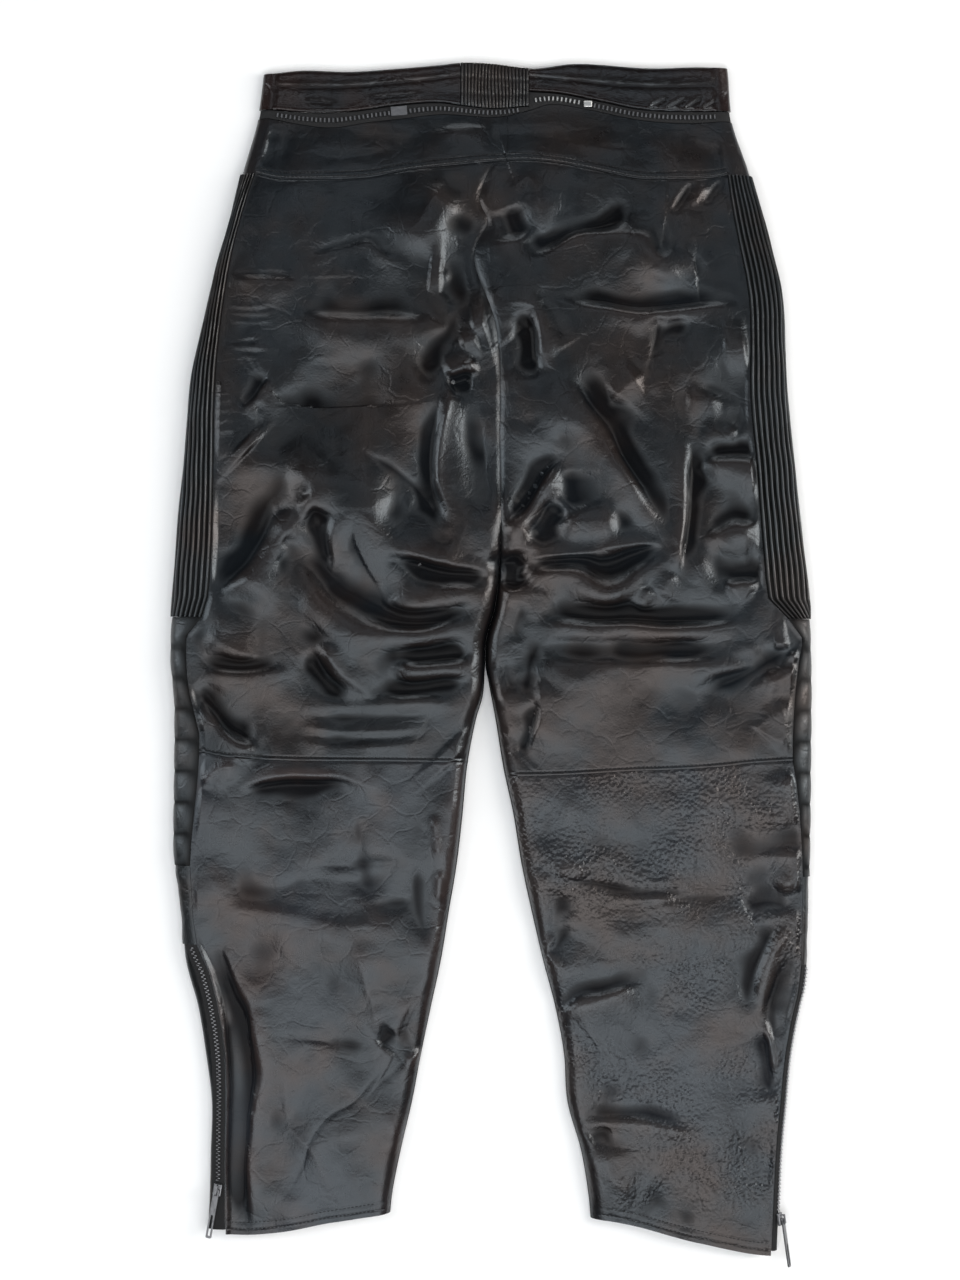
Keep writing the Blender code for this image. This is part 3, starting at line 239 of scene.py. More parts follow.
# Folds and creases of the back, from the waist down. Columns: height (minus for a valley), width on the
# line's left and on its right, then the line's points as pixels of the photograph
CREASES = (
    # left seat
    (4.0, 6, 15, (395, 252), (405, 240), (418, 225), (425, 212), (437, 195), (452, 178)),
    (2.2, 7, 7, (427, 275), (445, 276)),
    (-1.0, 3, 3, (228, 273), (250, 273), (280, 275), (300, 279)),
    (1.2, 3, 7, (230, 281), (255, 281), (285, 283), (302, 286)),
    (-1.1, 4, 3, (300, 252), (350, 242), (370, 237), (386, 252), (412, 259)),
    (1.3, 3, 8, (300, 259), (352, 249), (370, 245), (384, 260), (410, 267)),
    (-3.0, 14, 10, (285, 302), (360, 303), (440, 304)),
    (3.2, 12, 15, (285, 328), (360, 326), (445, 328)),
    (0.4, 2, 2, (225, 306), (250, 309), (278, 306)),
    (0.4, 2, 2, (226, 313), (255, 316), (280, 313)),
    (0.4, 2, 2, (226, 321), (252, 323), (278, 322)),
    (0.8, 3, 3, (220, 344), (245, 338), (270, 335)),
    (0.8, 3, 3, (220, 347), (255, 346), (282, 347)),
    (0.8, 3, 3, (220, 350), (245, 354), (265, 359)),
    (-0.8, 3, 3, (220, 341), (262, 341)),
    (-0.8, 3, 3, (224, 352), (270, 352)),
    (-2.8, 5, 4, (235, 408), (255, 393), (265, 380), (275, 375)),
    (2.8, 3, 8, (240, 414), (258, 400), (268, 387), (280, 383)),
    (0.5, 2, 3, (215, 390), (236, 383)),
    (0.5, 2, 3, (215, 398), (238, 390)),
    (0.5, 2, 3, (215, 406), (234, 400)),
    (0.5, 2, 3, (215, 414), (236, 408)),
    (0.5, 2, 3, (215, 423), (234, 419)),
    (0.5, 2, 3, (215, 432), (236, 429)),
    (2.0, 7, 8, (242, 440), (253, 450)),
    (-1.8, 4, 4, (262, 400), (258, 415), (262, 430)),
    (-5.0, 20, 20, (262, 452), (310, 404), (360, 388), (416, 374)),
    (7.0, 40, 14, (275, 508), (320, 505), (360, 506), (405, 503)),
    (-1.6, 3, 4, (350, 450), (370, 455), (400, 475), (425, 500), (440, 540)),
    (-3.5, 5, 8, (460, 298), (455, 315), (448, 335), (440, 345), (425, 370), (415, 385)),
    (-5.0, 7, 9, (475, 195), (468, 235), (463, 270), (460, 300), (450, 332)),
    (2.5, 4, 4, (460, 345), (480, 338)),
    (2.0, 6, 6, (470, 326), (490, 322)),
    (4.0, 4, 5, (443, 376), (455, 371), (470, 365), (478, 361)),
    (-4.0, 4, 5, (446, 386), (458, 384), (474, 379)),
    (1.2, 2, 2, (465, 376), (466, 362)),
    (1.2, 2, 2, (471, 375), (472, 360)),
    (4.0, 3, 3, (442, 374), (441, 382), (449, 398), (446, 420), (443, 440), (440, 465), (440, 490),
     (452, 520)),
    (-3.4, 4, 13, (434, 392), (433, 430), (431, 470), (434, 505), (443, 535)),
    (-3.6, 4, 13, (480, 385), (481, 430), (484, 470), (488, 505), (494, 530)),
    # left thigh
    (6.5, 15, 8, (304, 496), (287, 520), (272, 548), (254, 575), (226, 606)),
    (-4.5, 10, 10, (282, 462), (262, 505), (245, 540), (222, 575), (203, 592)),
    (-3.5, 5, 4, (312, 508), (322, 545), (331, 573)),
    (5.5, 7, 11, (333, 578), (334, 545), (338, 528), (348, 517), (358, 515), (368, 522), (382, 535),
     (400, 547), (430, 559), (445, 561), (460, 566), (497, 569)),
    (-4.0, 4, 6, (395, 560), (430, 570), (450, 574), (496, 578)),
    (3.5, 12, 6, (385, 606), (430, 601), (487, 594)),
    (-5.5, 8, 7, (288, 540), (326, 570), (347, 590), (375, 605), (402, 617), (440, 617), (484, 610)),
    (6.0, 8, 12, (288, 562), (309, 590), (329, 612), (345, 628), (365, 635), (420, 634), (484, 627)),
    (-3.0, 5, 5, (395, 657), (440, 656), (478, 650)),
    (3.0, 6, 8, (385, 671), (440, 669), (480, 662)),
    (-3.0, 7, 5, (375, 692), (430, 688), (475, 679)),
    (2.2, 5, 6, (283, 707), (350, 708), (430, 704), (446, 720)),
    (-1.4, 4, 3, (296, 716), (370, 718), (434, 714)),
    (1.2, 4, 4, (292, 728), (370, 731), (437, 727)),
    (-0.9, 4, 3, (292, 737), (370, 738), (436, 735)),
    (1.2, 4, 6, (288, 743), (360, 746), (432, 742)),
    (3.8, 7, 4, (313, 637), (335, 664), (352, 681), (379, 703)),
    (-3.2, 4, 5, (298, 653), (322, 680), (345, 702)),
    (3.4, 5, 6, (196, 633), (225, 645), (264, 656)),
    (-2.6, 5, 5, (200, 661), (245, 665), (292, 663)),
    (2.2, 5, 7, (204, 674), (245, 676), (292, 672)),
    (3.8, 5, 6, (201, 703), (212, 722), (232, 742), (260, 757)),
    (-3.2, 5, 4, (201, 678), (212, 702), (230, 722), (257, 743)),
    (2.0, 4, 5, (448, 742), (462, 758)),
    # right seat
    (2.8, 4, 4, (498, 185), (515, 187), (525, 178), (533, 183), (538, 205), (544, 232)),
    (-3.4, 5, 5, (509, 203), (514, 222), (521, 242)),
    (-3.2, 5, 5, (513, 245), (560, 238), (600, 225), (620, 207), (642, 200)),
    (4.5, 5, 15, (530, 263), (560, 250), (588, 236), (640, 238), (652, 256), (668, 261), (682, 243),
     (700, 241), (718, 253)),
    (-1.8, 3, 3, (697, 178), (680, 200), (669, 217)),
    (-1.8, 3, 3, (722, 178), (704, 207)),
    (1.4, 4, 4, (708, 182), (690, 208)),
    (-3.2, 13, 5, (543, 295), (600, 298), (640, 305), (700, 302), (752, 300)),
    (2.4, 5, 12, (543, 306), (600, 310), (640, 317), (700, 313), (752, 311)),
    (-2.2, 3, 3, (655, 310), (658, 330), (648, 365), (650, 387)),
    (-2.6, 5, 5, (692, 325), (666, 335), (650, 362)),
    (3.2, 5, 6, (642, 374), (625, 385), (610, 402)),
    (2.2, 6, 13, (720, 345), (750, 342)),
    (2.2, 4, 10, (683, 402), (722, 404)),
    (2.2, 4, 10, (698, 432), (740, 432)),
    (-2.0, 4, 4, (688, 379), (720, 392), (736, 402), (737, 425), (734, 443)),
    (3.4, 9, 3, (498, 300), (530, 304), (538, 320), (541, 345), (546, 361), (560, 373)),
    (-4.6, 5, 8, (508, 316), (526, 330), (531, 352), (536, 382)),
    (-4.5, 10, 8, (560, 360), (590, 389), (615, 420), (640, 470), (667, 522)),
    (5.5, 10, 12, (543, 373), (572, 402), (592, 428), (612, 462), (640, 505), (667, 543)),
    # right thigh
    (-6.5, 8, 5, (499, 521), (517, 509), (532, 490), (546, 465), (558, 446)),
    (5.0, 5, 8, (497, 538), (515, 529), (530, 513), (540, 496), (550, 476), (562, 463)),
    (-3.5, 7, 7, (527, 542), (545, 526), (562, 503)),
    (-2.6, 5, 5, (571, 468), (571, 512)),
    (4.2, 9, 22, (553, 526), (590, 524), (627, 521)),
    (2.6, 3, 3, (520, 556), (560, 555), (590, 554), (615, 546), (640, 543), (672, 546)),
    (-9.0, 9, 9, (511, 546), (514, 570), (510, 594)),
    (-4.2, 5, 7, (522, 572), (540, 561), (560, 559), (585, 561), (600, 566), (625, 557), (650, 547),
     (674, 545)),
    (4.6, 6, 10, (512, 593), (530, 585), (540, 578), (555, 575), (575, 578), (590, 588), (605, 592),
     (625, 588), (640, 578), (655, 568), (674, 559)),
    (2.2, 4, 4, (651, 588), (640, 613)),
    (2.2, 4, 4, (676, 573), (660, 601)),
    (3.4, 4, 9, (681, 428), (684, 480), (684, 520), (682, 545), (677, 583)),
    (-3.2, 10, 4, (692, 436), (694, 480), (690, 520), (686, 560), (684, 583)),
    (-2.2, 8, 6, (702, 452), (767, 450)),
    (3.2, 7, 17, (700, 470), (730, 468), (767, 470)),
    (-3.2, 7, 5, (702, 534), (730, 514), (763, 518)),
    (3.4, 5, 15, (706, 548), (732, 529), (763, 533)),
    (-3.0, 9, 8, (700, 573), (735, 574), (766, 571)),
    (2.8, 4, 6, (723, 593), (740, 585), (757, 591)),
    (-3.6, 7, 4, (528, 613), (600, 616), (680, 618), (745, 614), (760, 605)),
    (3.8, 4, 13, (526, 628), (600, 628), (680, 629), (752, 626)),
    (-2.2, 9, 8, (528, 650), (640, 650), (752, 647)),
    (3.6, 12, 15, (528, 671), (600, 671), (680, 670), (752, 667)),
    (-2.2, 3, 3, (525, 603), (515, 625), (521, 642)),
    (-2.2, 3, 3, (504, 653), (508, 675), (516, 697)),
    (-2.2, 3, 3, (541, 638), (530, 660), (525, 685), (519, 702)),
    (2.4, 4, 3, (541, 678), (538, 720), (531, 747)),
    (-2.8, 4, 4, (533, 698), (525, 740), (509, 757)),
    (2.2, 3, 3, (773, 641), (789, 641)),
    (2.2, 3, 4, (786, 652), (797, 661)),
    (-3.2, 4, 4, (698, 698), (740, 677), (780, 652), (797, 647)),
    (3.4, 4, 7, (791, 661), (785, 678), (757, 687)),
    (2.8, 4, 5, (774, 697), (785, 718), (783, 740), (774, 752)),
    # left calf
    (2.6, 4, 3, (205, 790), (212, 776), (222, 768), (240, 766)),
    (-1.2, 6, 8, (214, 886), (260, 888), (330, 880), (400, 886)),
    (1.3, 7, 12, (214, 905), (270, 912), (340, 925), (410, 930)),
    (-1.3, 9, 12, (222, 948), (270, 955), (330, 980), (375, 1000)),
    (1.4, 12, 16, (268, 1130), (320, 1140), (385, 1132)),
    (3.0, 5, 4, (233, 788), (262, 779), (300, 775), (335, 774), (360, 784), (392, 789)),
    (-2.4, 3, 4, (238, 794), (275, 786), (310, 784), (345, 783)),
    (-1.6, 6, 6, (356, 808), (360, 840), (366, 870), (371, 905)),
    (-1.4, 5, 5, (306, 867), (360, 864), (414, 865)),
    (-1.8, 6, 6, (414, 858), (419, 900), (428, 948)),
    (-1.1, 5, 5, (364, 905), (416, 899)),
    (1.8, 4, 4, (436, 812), (438, 838), (437, 862)),
    (1.8, 4, 4, (440, 868), (441, 905)),
    (-6.5, 15, 8, (206, 915), (228, 985), (240, 1020), (243, 1060), (242, 1110), (238, 1160), (236, 1265)),
    (3.2, 9, 8, (226, 955), (240, 980), (252, 1005), (257, 1040), (262, 1085), (256, 1115), (252, 1150),
     (252, 1180), (262, 1235)),
    (2.6, 5, 5, (353, 942), (363, 975), (374, 1010), (380, 1042)),
    (-0.8, 3, 3, (268, 1033), (330, 1044), (384, 1046)),
    (-3.0, 4, 4, (379, 1047), (396, 1032)),
    (-3.2, 7, 6, (394, 1034), (406, 1040), (421, 1054)),
    (1.8, 4, 6, (398, 1062), (424, 1052)),
    (-0.5, 2, 2, (392, 1058), (370, 1080), (352, 1100), (330, 1115), (312, 1140), (300, 1170), (282, 1202)),
    (0.9, 5, 5, (272, 1048), (285, 1090), (290, 1130), (312, 1152), (326, 1180), (342, 1203)),
    # right calf
    (1.4, 14, 18, (530, 818), (600, 810), (690, 806), (770, 812)),
    (-1.2, 12, 12, (535, 845), (620, 840), (700, 835), (775, 842)),
    (1.4, 12, 18, (560, 935), (640, 930), (735, 935)),
    (1.4, 16, 20, (600, 1165), (690, 1158), (768, 1165)),
    (4.0, 6, 6, (789, 766), (787, 800), (786, 836)),
    (4.6, 6, 7, (786, 842), (787, 868), (790, 897)),
    (-1.8, 3, 4, (560, 878), (600, 886), (640, 890), (700, 892)),
    (-2.0, 3, 4, (588, 907), (640, 905), (700, 898), (747, 892)),
    (-2.2, 3, 4, (738, 908), (770, 902), (797, 905)),
    (1.6, 5, 8, (600, 897), (640, 898), (690, 905)),
    (2.2, 4, 4, (556, 880), (566, 867), (577, 868), (586, 882)),
    (-2.2, 6, 7, (569, 890), (556, 915), (549, 948)),
    (-2.8, 4, 4, (572, 922), (560, 943), (545, 957)),
    (-2.6, 8, 9, (544, 1032), (562, 1005), (580, 989), (612, 984), (652, 960)),
    (2.6, 5, 9, (560, 1022), (574, 1010), (600, 1000), (640, 988)),
    (-2.4, 9, 8, (655, 1025), (638, 1050), (622, 1084), (590, 1108)),
    (-2.0, 6, 7, (572, 1115), (605, 1111), (645, 1111), (704, 1128)),
    (2.2, 5, 8, (580, 1127), (640, 1124), (700, 1142)),
    (-2.0, 3, 4, (586, 1142), (598, 1133), (612, 1131)),
    (2.2, 5, 5, (600, 1140), (606, 1160), (616, 1182), (642, 1192)),
    (-2.2, 6, 6, (640, 1190), (675, 1212), (704, 1228)),
    (-2.6, 4, 5, (788, 912), (768, 930), (754, 960), (748, 985), (742, 1020)),
    (2.8, 5, 6, (795, 922), (776, 945), (766, 975), (760, 1005)),
    (-2.4, 3, 4, (792, 968), (780, 985), (772, 1010), (774, 1055)),
    (-2.4, 3, 4, (757, 1025), (763, 1045), (768, 1075), (772, 1105)),
    (2.2, 4, 4, (763, 1018), (771, 1045), (776, 1078)),
)

# Folds of the yoke and the waistband, with the same columns
WAIST_CREASES = (
    (1.6, 4, 9, (438, 130), (470, 128), (497, 132)),
    (1.6, 7, 8, (260, 140), (284, 142)),
    (-1.0, 4, 5, (300, 150), (340, 158), (400, 148)),
    (0.9, 5, 6, (540, 135), (600, 148), (650, 150)),
    (-0.9, 4, 4, (690, 140), (725, 150)),
)
BAND_CREASES = (
    (-1.2, 2, 2, (648, 108), (670, 96)),
    (-1.2, 2, 2, (664, 110), (690, 96)),
    (-1.2, 2, 2, (682, 111), (705, 95)),
    (-1.2, 2, 2, (700, 111), (722, 97)),
    (-0.8, 2, 3, (300, 100), (340, 103)),
    (-0.8, 2, 3, (360, 98), (430, 92)),
)
# The seam between the waistband's two channels, as pixels
BAND_CHANNELS = {
    "left": ((255, 83), (310, 86), (370, 84), (455, 75), (462, 74)),
    "right": ((530, 75), (560, 78), (640, 85), (735, 84)),
}

SIDES = {
    "left": {
        "sign": -1,
        "outline": LEFT_OUTLINE,
        "inseam": LEFT_INSEAM,
        "side_seam": LEFT_SIDE_SEAM,
        "knee_seam": LEFT_KNEE_SEAM,
        "hem": LEFT_HEM,
        "band_bottom": BAND_BOTTOM_LEFT,
        "rib_foot": 40.0,
        "knee_foot": -180.0,
        "zip_top": -250.0,
        "hem_side": -503.0,
        "slider": -467.0,
    },
    "right": {
        "sign": 1,
        "outline": RIGHT_OUTLINE,
        "inseam": RIGHT_INSEAM,
        "side_seam": RIGHT_SIDE_SEAM,
        "knee_seam": RIGHT_KNEE_SEAM,
        "hem": RIGHT_HEM,
        "band_bottom": BAND_BOTTOM_RIGHT,
        "rib_foot": 38.0,
        "knee_foot": -190.0,
        "zip_top": -268.0,
        "hem_side": -522.0,
        "slider": -494.0,
    },
}
SIDE_ROWS = (
    ("yoke_side", "rib_foot", 22),
    ("rib_foot", "knee_side", 7),
    ("knee_side", "knee_foot", 5),
    ("knee_foot", "zip_top", 3),
    ("zip_top", "hem_side", 10),
)


def smooth(table, at):
    """Values of a two-column table at the places asked, on one smooth curve through its rows."""
    rows = np.array(sorted(table), float)
    place, value = rows[:, 0], rows[:, 1]
    steps = np.diff(value) / np.diff(place)
    slope = np.concatenate([steps[:1], (steps[:-1] + steps[1:]) / 2, steps[-1:]])
    at = np.clip(np.asarray(at, float), place[0], place[-1])
    left = np.clip(np.searchsorted(place, at, side="right") - 1, 0, len(place) - 2)
    width = place[left + 1] - place[left]
    t = (at - place[left]) / width
    return (
        (2 * t**3 - 3 * t**2 + 1) * value[left]
        + (t**3 - 2 * t**2 + t) * width * slope[left]
        + (3 * t**2 - 2 * t**3) * value[left + 1]
        + (t**3 - t**2) * width * slope[left + 1]
    )


def crossing(line, seam, near_y):
    """y where a line across meets a line down."""
    return float(smooth(line, smooth(seam, near_y)))


for its in SIDES.values():
    its["yoke_side"] = crossing(YOKE_SEAM, its["side_seam"], 431.0)
    its["knee_side"] = crossing(its["knee_seam"], its["side_seam"], -84.0)


def ease(low, high, value):
    t = np.clip((value - low) / (high - low), 0, 1)
    return t * t * (3 - 2 * t)


def from_photo(points):
    """Millimetres in the frame for points that are pixels of the photograph."""
    return [((x - PHOTO_ORIGIN[0]) * PIXEL, (PHOTO_ORIGIN[1] - y) * PIXEL) for x, y in points]


def fold_line(points, steps=4):
    """A fold's points on one smooth line."""
    points = np.array(points, float)
    if len(points) == 2:
        return points
    count = np.arange(len(points))
    fine = np.linspace(0, len(points) - 1, steps * (len(points) - 1) + 1)
    columns = [smooth(list(zip(count, points[:, axis])), fine) for axis in (0, 1)]
    return np.stack(columns, axis=1)


def bell(away, width):
    """A hump of height 1 about 0."""
    return np.exp(-((away / width) ** 2))


def mark(form, away):
    """A hump with a table's height and width about 0."""
    height, width = form
    return height * bell(away, width)


def fold_distance(points, reach, x, y):
    """For the places within reach of a fold's line: their mask, how far they are from the line, on which side
    of it from 0 (right) to 1 (left), and how much of the fold is left there, as it dies out at both ends."""
    line = fold_line(points)
    near = (
        (x > line[:, 0].min() - reach) & (x < line[:, 0].max() + reach)
        & (y > line[:, 1].min() - reach) & (y < line[:, 1].max() + reach)
    )
    px, py = x[near], y[near]
    nearest = np.full(px.shape, np.inf)
    left_share = np.zeros(px.shape)
    share = np.zeros(px.shape)
    lengths = np.hypot(*np.diff(line, axis=0).T)
    before = np.concatenate([[0], np.cumsum(lengths)]) / lengths.sum()
    for k, (start, end) in enumerate(zip(line[:-1], line[1:])):
        run = end - start
        along = np.clip(((px - start[0]) * run[0] + (py - start[1]) * run[1]) / (run @ run), 0, 1)
        off_x, off_y = px - start[0] - along * run[0], py - start[1] - along * run[1]
        away = np.hypot(off_x, off_y)
        side = (run[0] * off_y - run[1] * off_x) / (np.hypot(*run) * 2.0)
        closer = away < nearest
        left_share = np.where(closer, 0.5 + 0.5 * np.clip(side, -1, 1), left_share)
        share = np.where(closer, before[k] + (before[k + 1] - before[k]) * along, share)
        nearest = np.where(closer, away, nearest)
    return near, nearest, left_share, ease(0, FOLD_TAPER, share) * ease(1, 1 - FOLD_TAPER, share)


def flank(width):
    """The width a fold has for its width in the tables: broad flanks are broader still."""
    return width * (1 + width / FOLD_SPREAD)


def fold_profile(nearest, left_share, left_width, right_width):
    """A crest with its own width of flank on each side, 1 on the line."""
    width = flank(right_width) + (flank(left_width) - flank(right_width)) * left_share
    crest = 0.3 * width
    return np.exp((crest - np.sqrt(nearest**2 + crest**2)) / (0.75 * width))


def fold_height(height, left_width, right_width, points, x, y):
    """A ridge or trough along a line."""
    found = np.zeros(np.shape(x))
    reach = FOLD_REACH * flank(max(left_width, right_width))
    near, nearest, left_share, fade = fold_distance(points, reach, x, y)
    found[near] = height * fade * fold_profile(nearest, left_share, left_width, right_width)
    return found


def folds_height(table, x, y):
    """All folds of a table. The larger ones have a crest of their own and also draw the cloth between them up
    and down, so that it slopes from each crest to the next valley."""
    change, length, seed = FOLD_CHANGES
    varied = 1 + change * np.clip(waves(x, y, length, seed), -1.6, 1.6)
    crests = np.zeros(np.shape(x))
    drawn = np.zeros(np.shape(x))
    pull = np.full(np.shape(x), BROAD**-3.0)
    for height, left_width, right_width, *points in table:
        broad = abs(height) >= BROAD_LEAST
        reach = BROAD_REACH if broad else FOLD_REACH * flank(max(left_width, right_width))
        near, nearest, left_share, fade = fold_distance(from_photo(points), reach, x, y)
        share = CREST_SHARE if broad else 1.0
        crests[near] += share * height * fade * fold_profile(nearest, left_share, left_width, right_width)
        if broad:
            strength = ease(BROAD_REACH, 0.5 * BROAD_REACH, nearest) / (nearest**2 + CREST_ROUND**2) ** 1.5
            strength = strength * (0.15 + 0.85 * fade)
            drawn[near] += BROAD_SHARE * height * fade * strength
            pull[near] += strength
    return varied * (crests + drawn / pull)


def waves(x, y, length, seed, count=14):
    """Smooth uneven hills and hollows of about that length, from -1 to 1."""
    draw = np.random.default_rng(seed)
    total = np.zeros(np.shape(x))
    for _ in range(count):
        heading = draw.uniform(0, math.tau)
        turns = draw.uniform(0.6, 1.5) * math.tau / length
        phase = draw.uniform(0, math.tau)
        total = total + np.sin((x * math.cos(heading) + y * math.sin(heading)) * turns + phase)
    return total / math.sqrt(count)


def outline(side, y):
    return smooth(SIDES[side]["outline"], y)


def inner(side, y):
    """Inner edge of a side's back panels: the centre seam, and below the crotch the inside leg."""
    return np.where(np.asarray(y) > CROTCH, smooth(CENTRE_SEAM, y), smooth(SIDES[side]["inseam"], y))


def side_rows(side, first, last, split=1):
    """Heights of the rows of points from one meeting place on the side to another, from the top down."""
    its = SIDES[side]
    found, taking = [its[first]], False
    for start, end, count in SIDE_ROWS:
        taking = taking or start == first
        if taking:
            steps = count * split
            found += [its[start] + (its[end] - its[start]) * (k + 1) / steps for k in range(steps)]
        if end == last:
            return np.array(found)


def seam_table(side):
    sign = SIDES[side]["sign"]
    rows = np.concatenate([[540.0, 500.0, 470.0, 450.0], side_rows(side, "yoke_side", "hem_side"), [-535.0]])
    most = sign * smooth(SIDES[side]["outline"], rows) - NARROWEST_TURN
    return rows, sign * np.minimum(sign * smooth(SIDES[side]["side_seam"], rows), most)


SEAM_TABLES = {side: seam_table(side) for side in SIDES}


def side_seam(side, y):
    """Inner edge of the side pieces, straight between rows as in the solids."""
    rows, seam = SEAM_TABLES[side]
    return np.interp(-np.asarray(y, float), -rows, seam)


def warped(x, y):
    """The same places shifted a little, unevenly, so that no fold runs along a plain curve."""
    shift_x, shift_y = (height * waves(x, y, length, seed) for height, length, seed in SHIFTS)
    return x + shift_x, y + shift_y


def fine_relief(x, y):
    """The folds and creases, and slight unevenness between them."""
    uneven = sum(height * waves(x, y, length, seed) for height, length, seed in UNEVEN)
    depth, length, seed = PRESSED
    pressed = depth * np.maximum(0, waves(x, y, length, seed)) ** 2
    return (folds_height(CREASES, x, y) + uneven) * (1 + CALF_MORE * ease(*CALF_TOP, y)) - pressed


def lapped(above, rows):
    """A lapped seam: a bead above the line, a step below it and a groove at each row of stitches."""
    bead = mark(BEAD, above - BEAD_ABOVE) * (above > 0)
    step = mark(STEP, above) * (above <= 0)
    return bead - step - sum(mark(GROOVE, above - row) for row in rows)


def seam_relief(side, x, y):
    """The seams across the back, the one down its middle and the stitched hem."""
    its = SIDES[side]
    across = lapped(y - smooth(YOKE_SEAM, x), YOKE_ROWS) + lapped(y - smooth(its["knee_seam"], x), KNEE_ROWS)
    centre = mark(CENTRE_GROOVE, x - smooth(CENTRE_SEAM, y)) * (y > CROTCH) * ease(*CENTRE_BEGINS, y)
    hem = y - smooth(its["hem"], x)
    return across - centre - sum(mark(HEM_GROOVE, hem - row) for row in HEM_ROWS)


def back_height(side, x, y):
    """Height of the back's outer surface: a plateau with folds, rolled down beside the inner edge."""
    sign = SIDES[side]["sign"]
    from_side = sign * (side_seam(side, y) - x)
    below_waist = ease(*FOLDS_BEGIN, y)
    bent_x, bent_y = warped(x, y)
    folds = fine_relief(bent_x, bent_y) * ease(0, 6, from_side) * below_waist
    top = np.maximum(smooth(PLATEAU, y) + folds, LOWEST_BACK) + seam_relief(side, x, y)
    top = top + folds_of(WAIST_CREASES, x, y)
    roll = ease(*ROLL_BEGINS, y)
    dip = DIP_SHARE * ease(*DIP_BEGINS, y)
    share = np.clip(sign * (x - inner(side, y)) / SEAM_ROLL, 0, 1)
    shallow = 1 - (1 - share) ** 2
    round_edge = np.sqrt(shallow)
    profile = 1 - dip * (1 - roll) * (1 - shallow) - roll * (1 - round_edge)
    return EDGE_HEIGHT + (top - EDGE_HEIGHT) * profile


def turn_section(side, y, steps=24):
    """The cloth's turn at the outer side: points from its seam over the edge and back under the leg, with
    the outward normals and the length along the section, in the plane of y."""
    sign = SIDES[side]["sign"]
    seam = float(side_seam(side, y))
    edge = float(outline(side, y))
    top = float(smooth(PLATEAU, y))
    middle = TURN_MIDDLE * top
    across = abs(edge - seam)
    low_across = min(LOWER_TURN, across)
    angle = np.linspace(math.pi / 2, 0, steps)
    upper = np.stack([edge - sign * across * (1 - np.cos(angle)), middle + (top - middle) * np.sin(angle)], 1)
    angle = np.linspace(0, -math.pi / 2, steps)[1:]
    lower = np.stack([edge - sign * low_across * (1 - np.cos(angle)), middle + middle * np.sin(angle)], 1)
    flat = np.stack([edge - sign * (low_across + np.linspace(0, UNDERLAP, 5)[1:]), np.zeros(4)], 1)
    points = np.concatenate([upper, lower, flat])
    run = np.gradient(points, axis=0)
    normals = np.stack([-sign * run[:, 1], sign * run[:, 0]], 1)
    normals /= np.linalg.norm(normals, axis=1, keepdims=True)
    length = np.concatenate([[0], np.cumsum(np.hypot(*np.diff(points, axis=0).T))])
    return points, normals, length


def turn_points(side, y, arcs, lift):
    """Points on the turn at each length from the seam, moved out by lift."""
    points, normals, length = turn_section(side, y)
    arcs = np.asarray(arcs, float)
    placed = [np.interp(arcs, length, points[:, axis]) for axis in (0, 1)]
    normal = [np.interp(arcs, length, normals[:, axis]) for axis in (0, 1)]
    size = np.hypot(*normal)
    x = placed[0] + lift * normal[0] / size
    z = np.maximum(placed[1] + lift * normal[1] / size, 0)
    return np.stack([x, np.full_like(x, y), z], axis=1)


def turn_length(side, y):
    return turn_section(side, y)[2][-1]


def under_end(side, y):
    """Where the side piece ends under the leg, and the front panel begins."""
    sign = SIDES[side]["sign"]
    across = np.abs(outline(side, y) - side_seam(side, y))
    return outline(side, y) - sign * (np.minimum(LOWER_TURN, across) + UNDERLAP)


# Meshes

def grid_normals(points):
    """Unit normals of a grid of points."""
    across = np.gradient(points, axis=1)
    down = np.gradient(points, axis=0)
    normal = np.cross(across, down)
    return normal / np.maximum(np.linalg.norm(normal, axis=2, keepdims=True), 1e-9)


def picked(count, step):
    """Every step-th place of a row, and always its last one."""
    return np.unique(np.append(np.arange(0, count, step), count - 1))


def quads(index):
    """The faces of a grid of vertex numbers."""
    return np.stack([index[:-1, :-1], index[:-1, 1:], index[1:, 1:], index[1:, :-1]], axis=-1).reshape(-1, 4)


def shell(name, outer, inner_side, slot, step=1, sharp=50):
    """A closed wall from a fine grid of outer points and the same places of a grid of inner points, of which
    only every step-th row and column is used."""
    rows, columns = outer.shape[:2]
    row_picks, column_picks = picked(rows, step), picked(columns, step)
    coarse = inner_side[np.ix_(row_picks, column_picks)]
    index = np.arange(rows * columns).reshape(rows, columns)
    inner_index = rows * columns + np.arange(len(row_picks) * len(column_picks)).reshape(coarse.shape[:2])
    borders = (
        (index[0], inner_index[0], column_picks, True),
        (index[-1], inner_index[-1], column_picks, False),
        (index[:, 0], inner_index[:, 0], row_picks, False),
        (index[:, -1], inner_index[:, -1], row_picks, True),
    )
    faces = [*quads(index).tolist(), *quads(inner_index)[:, [0, 3, 2, 1]].tolist()]
    for fine, thin, picks, turned in borders:
        for k in range(len(picks) - 1):
            ring = [*fine[picks[k]:picks[k + 1] + 1].tolist(), int(thin[k + 1]), int(thin[k])]
            faces.append(ring[::-1] if turned else ring)
    vertices = np.concatenate([outer.reshape(-1, 3), coarse.reshape(-1, 3)]) * MM
    mesh = bpy.data.meshes.new(name)
    mesh.from_pydata(vertices.tolist(), [], faces)
    shape = bmesh.new()
    shape.from_mesh(mesh)
    bmesh.ops.recalc_face_normals(shape, faces=shape.faces)
    shape.to_mesh(mesh)
    shape.free()
    mesh.shade_smooth()
    mesh.set_sharp_from_angle(angle=math.radians(sharp))
    wear_and_shade = mesh.attributes.new("wear_and_shade", "FLOAT", "POINT")
    wear_and_shade.data.foreach_set("value", np.full(len(mesh.vertices), EVEN_WEAR_AND_SHADE))
    return add_piece(name, mesh, slot)


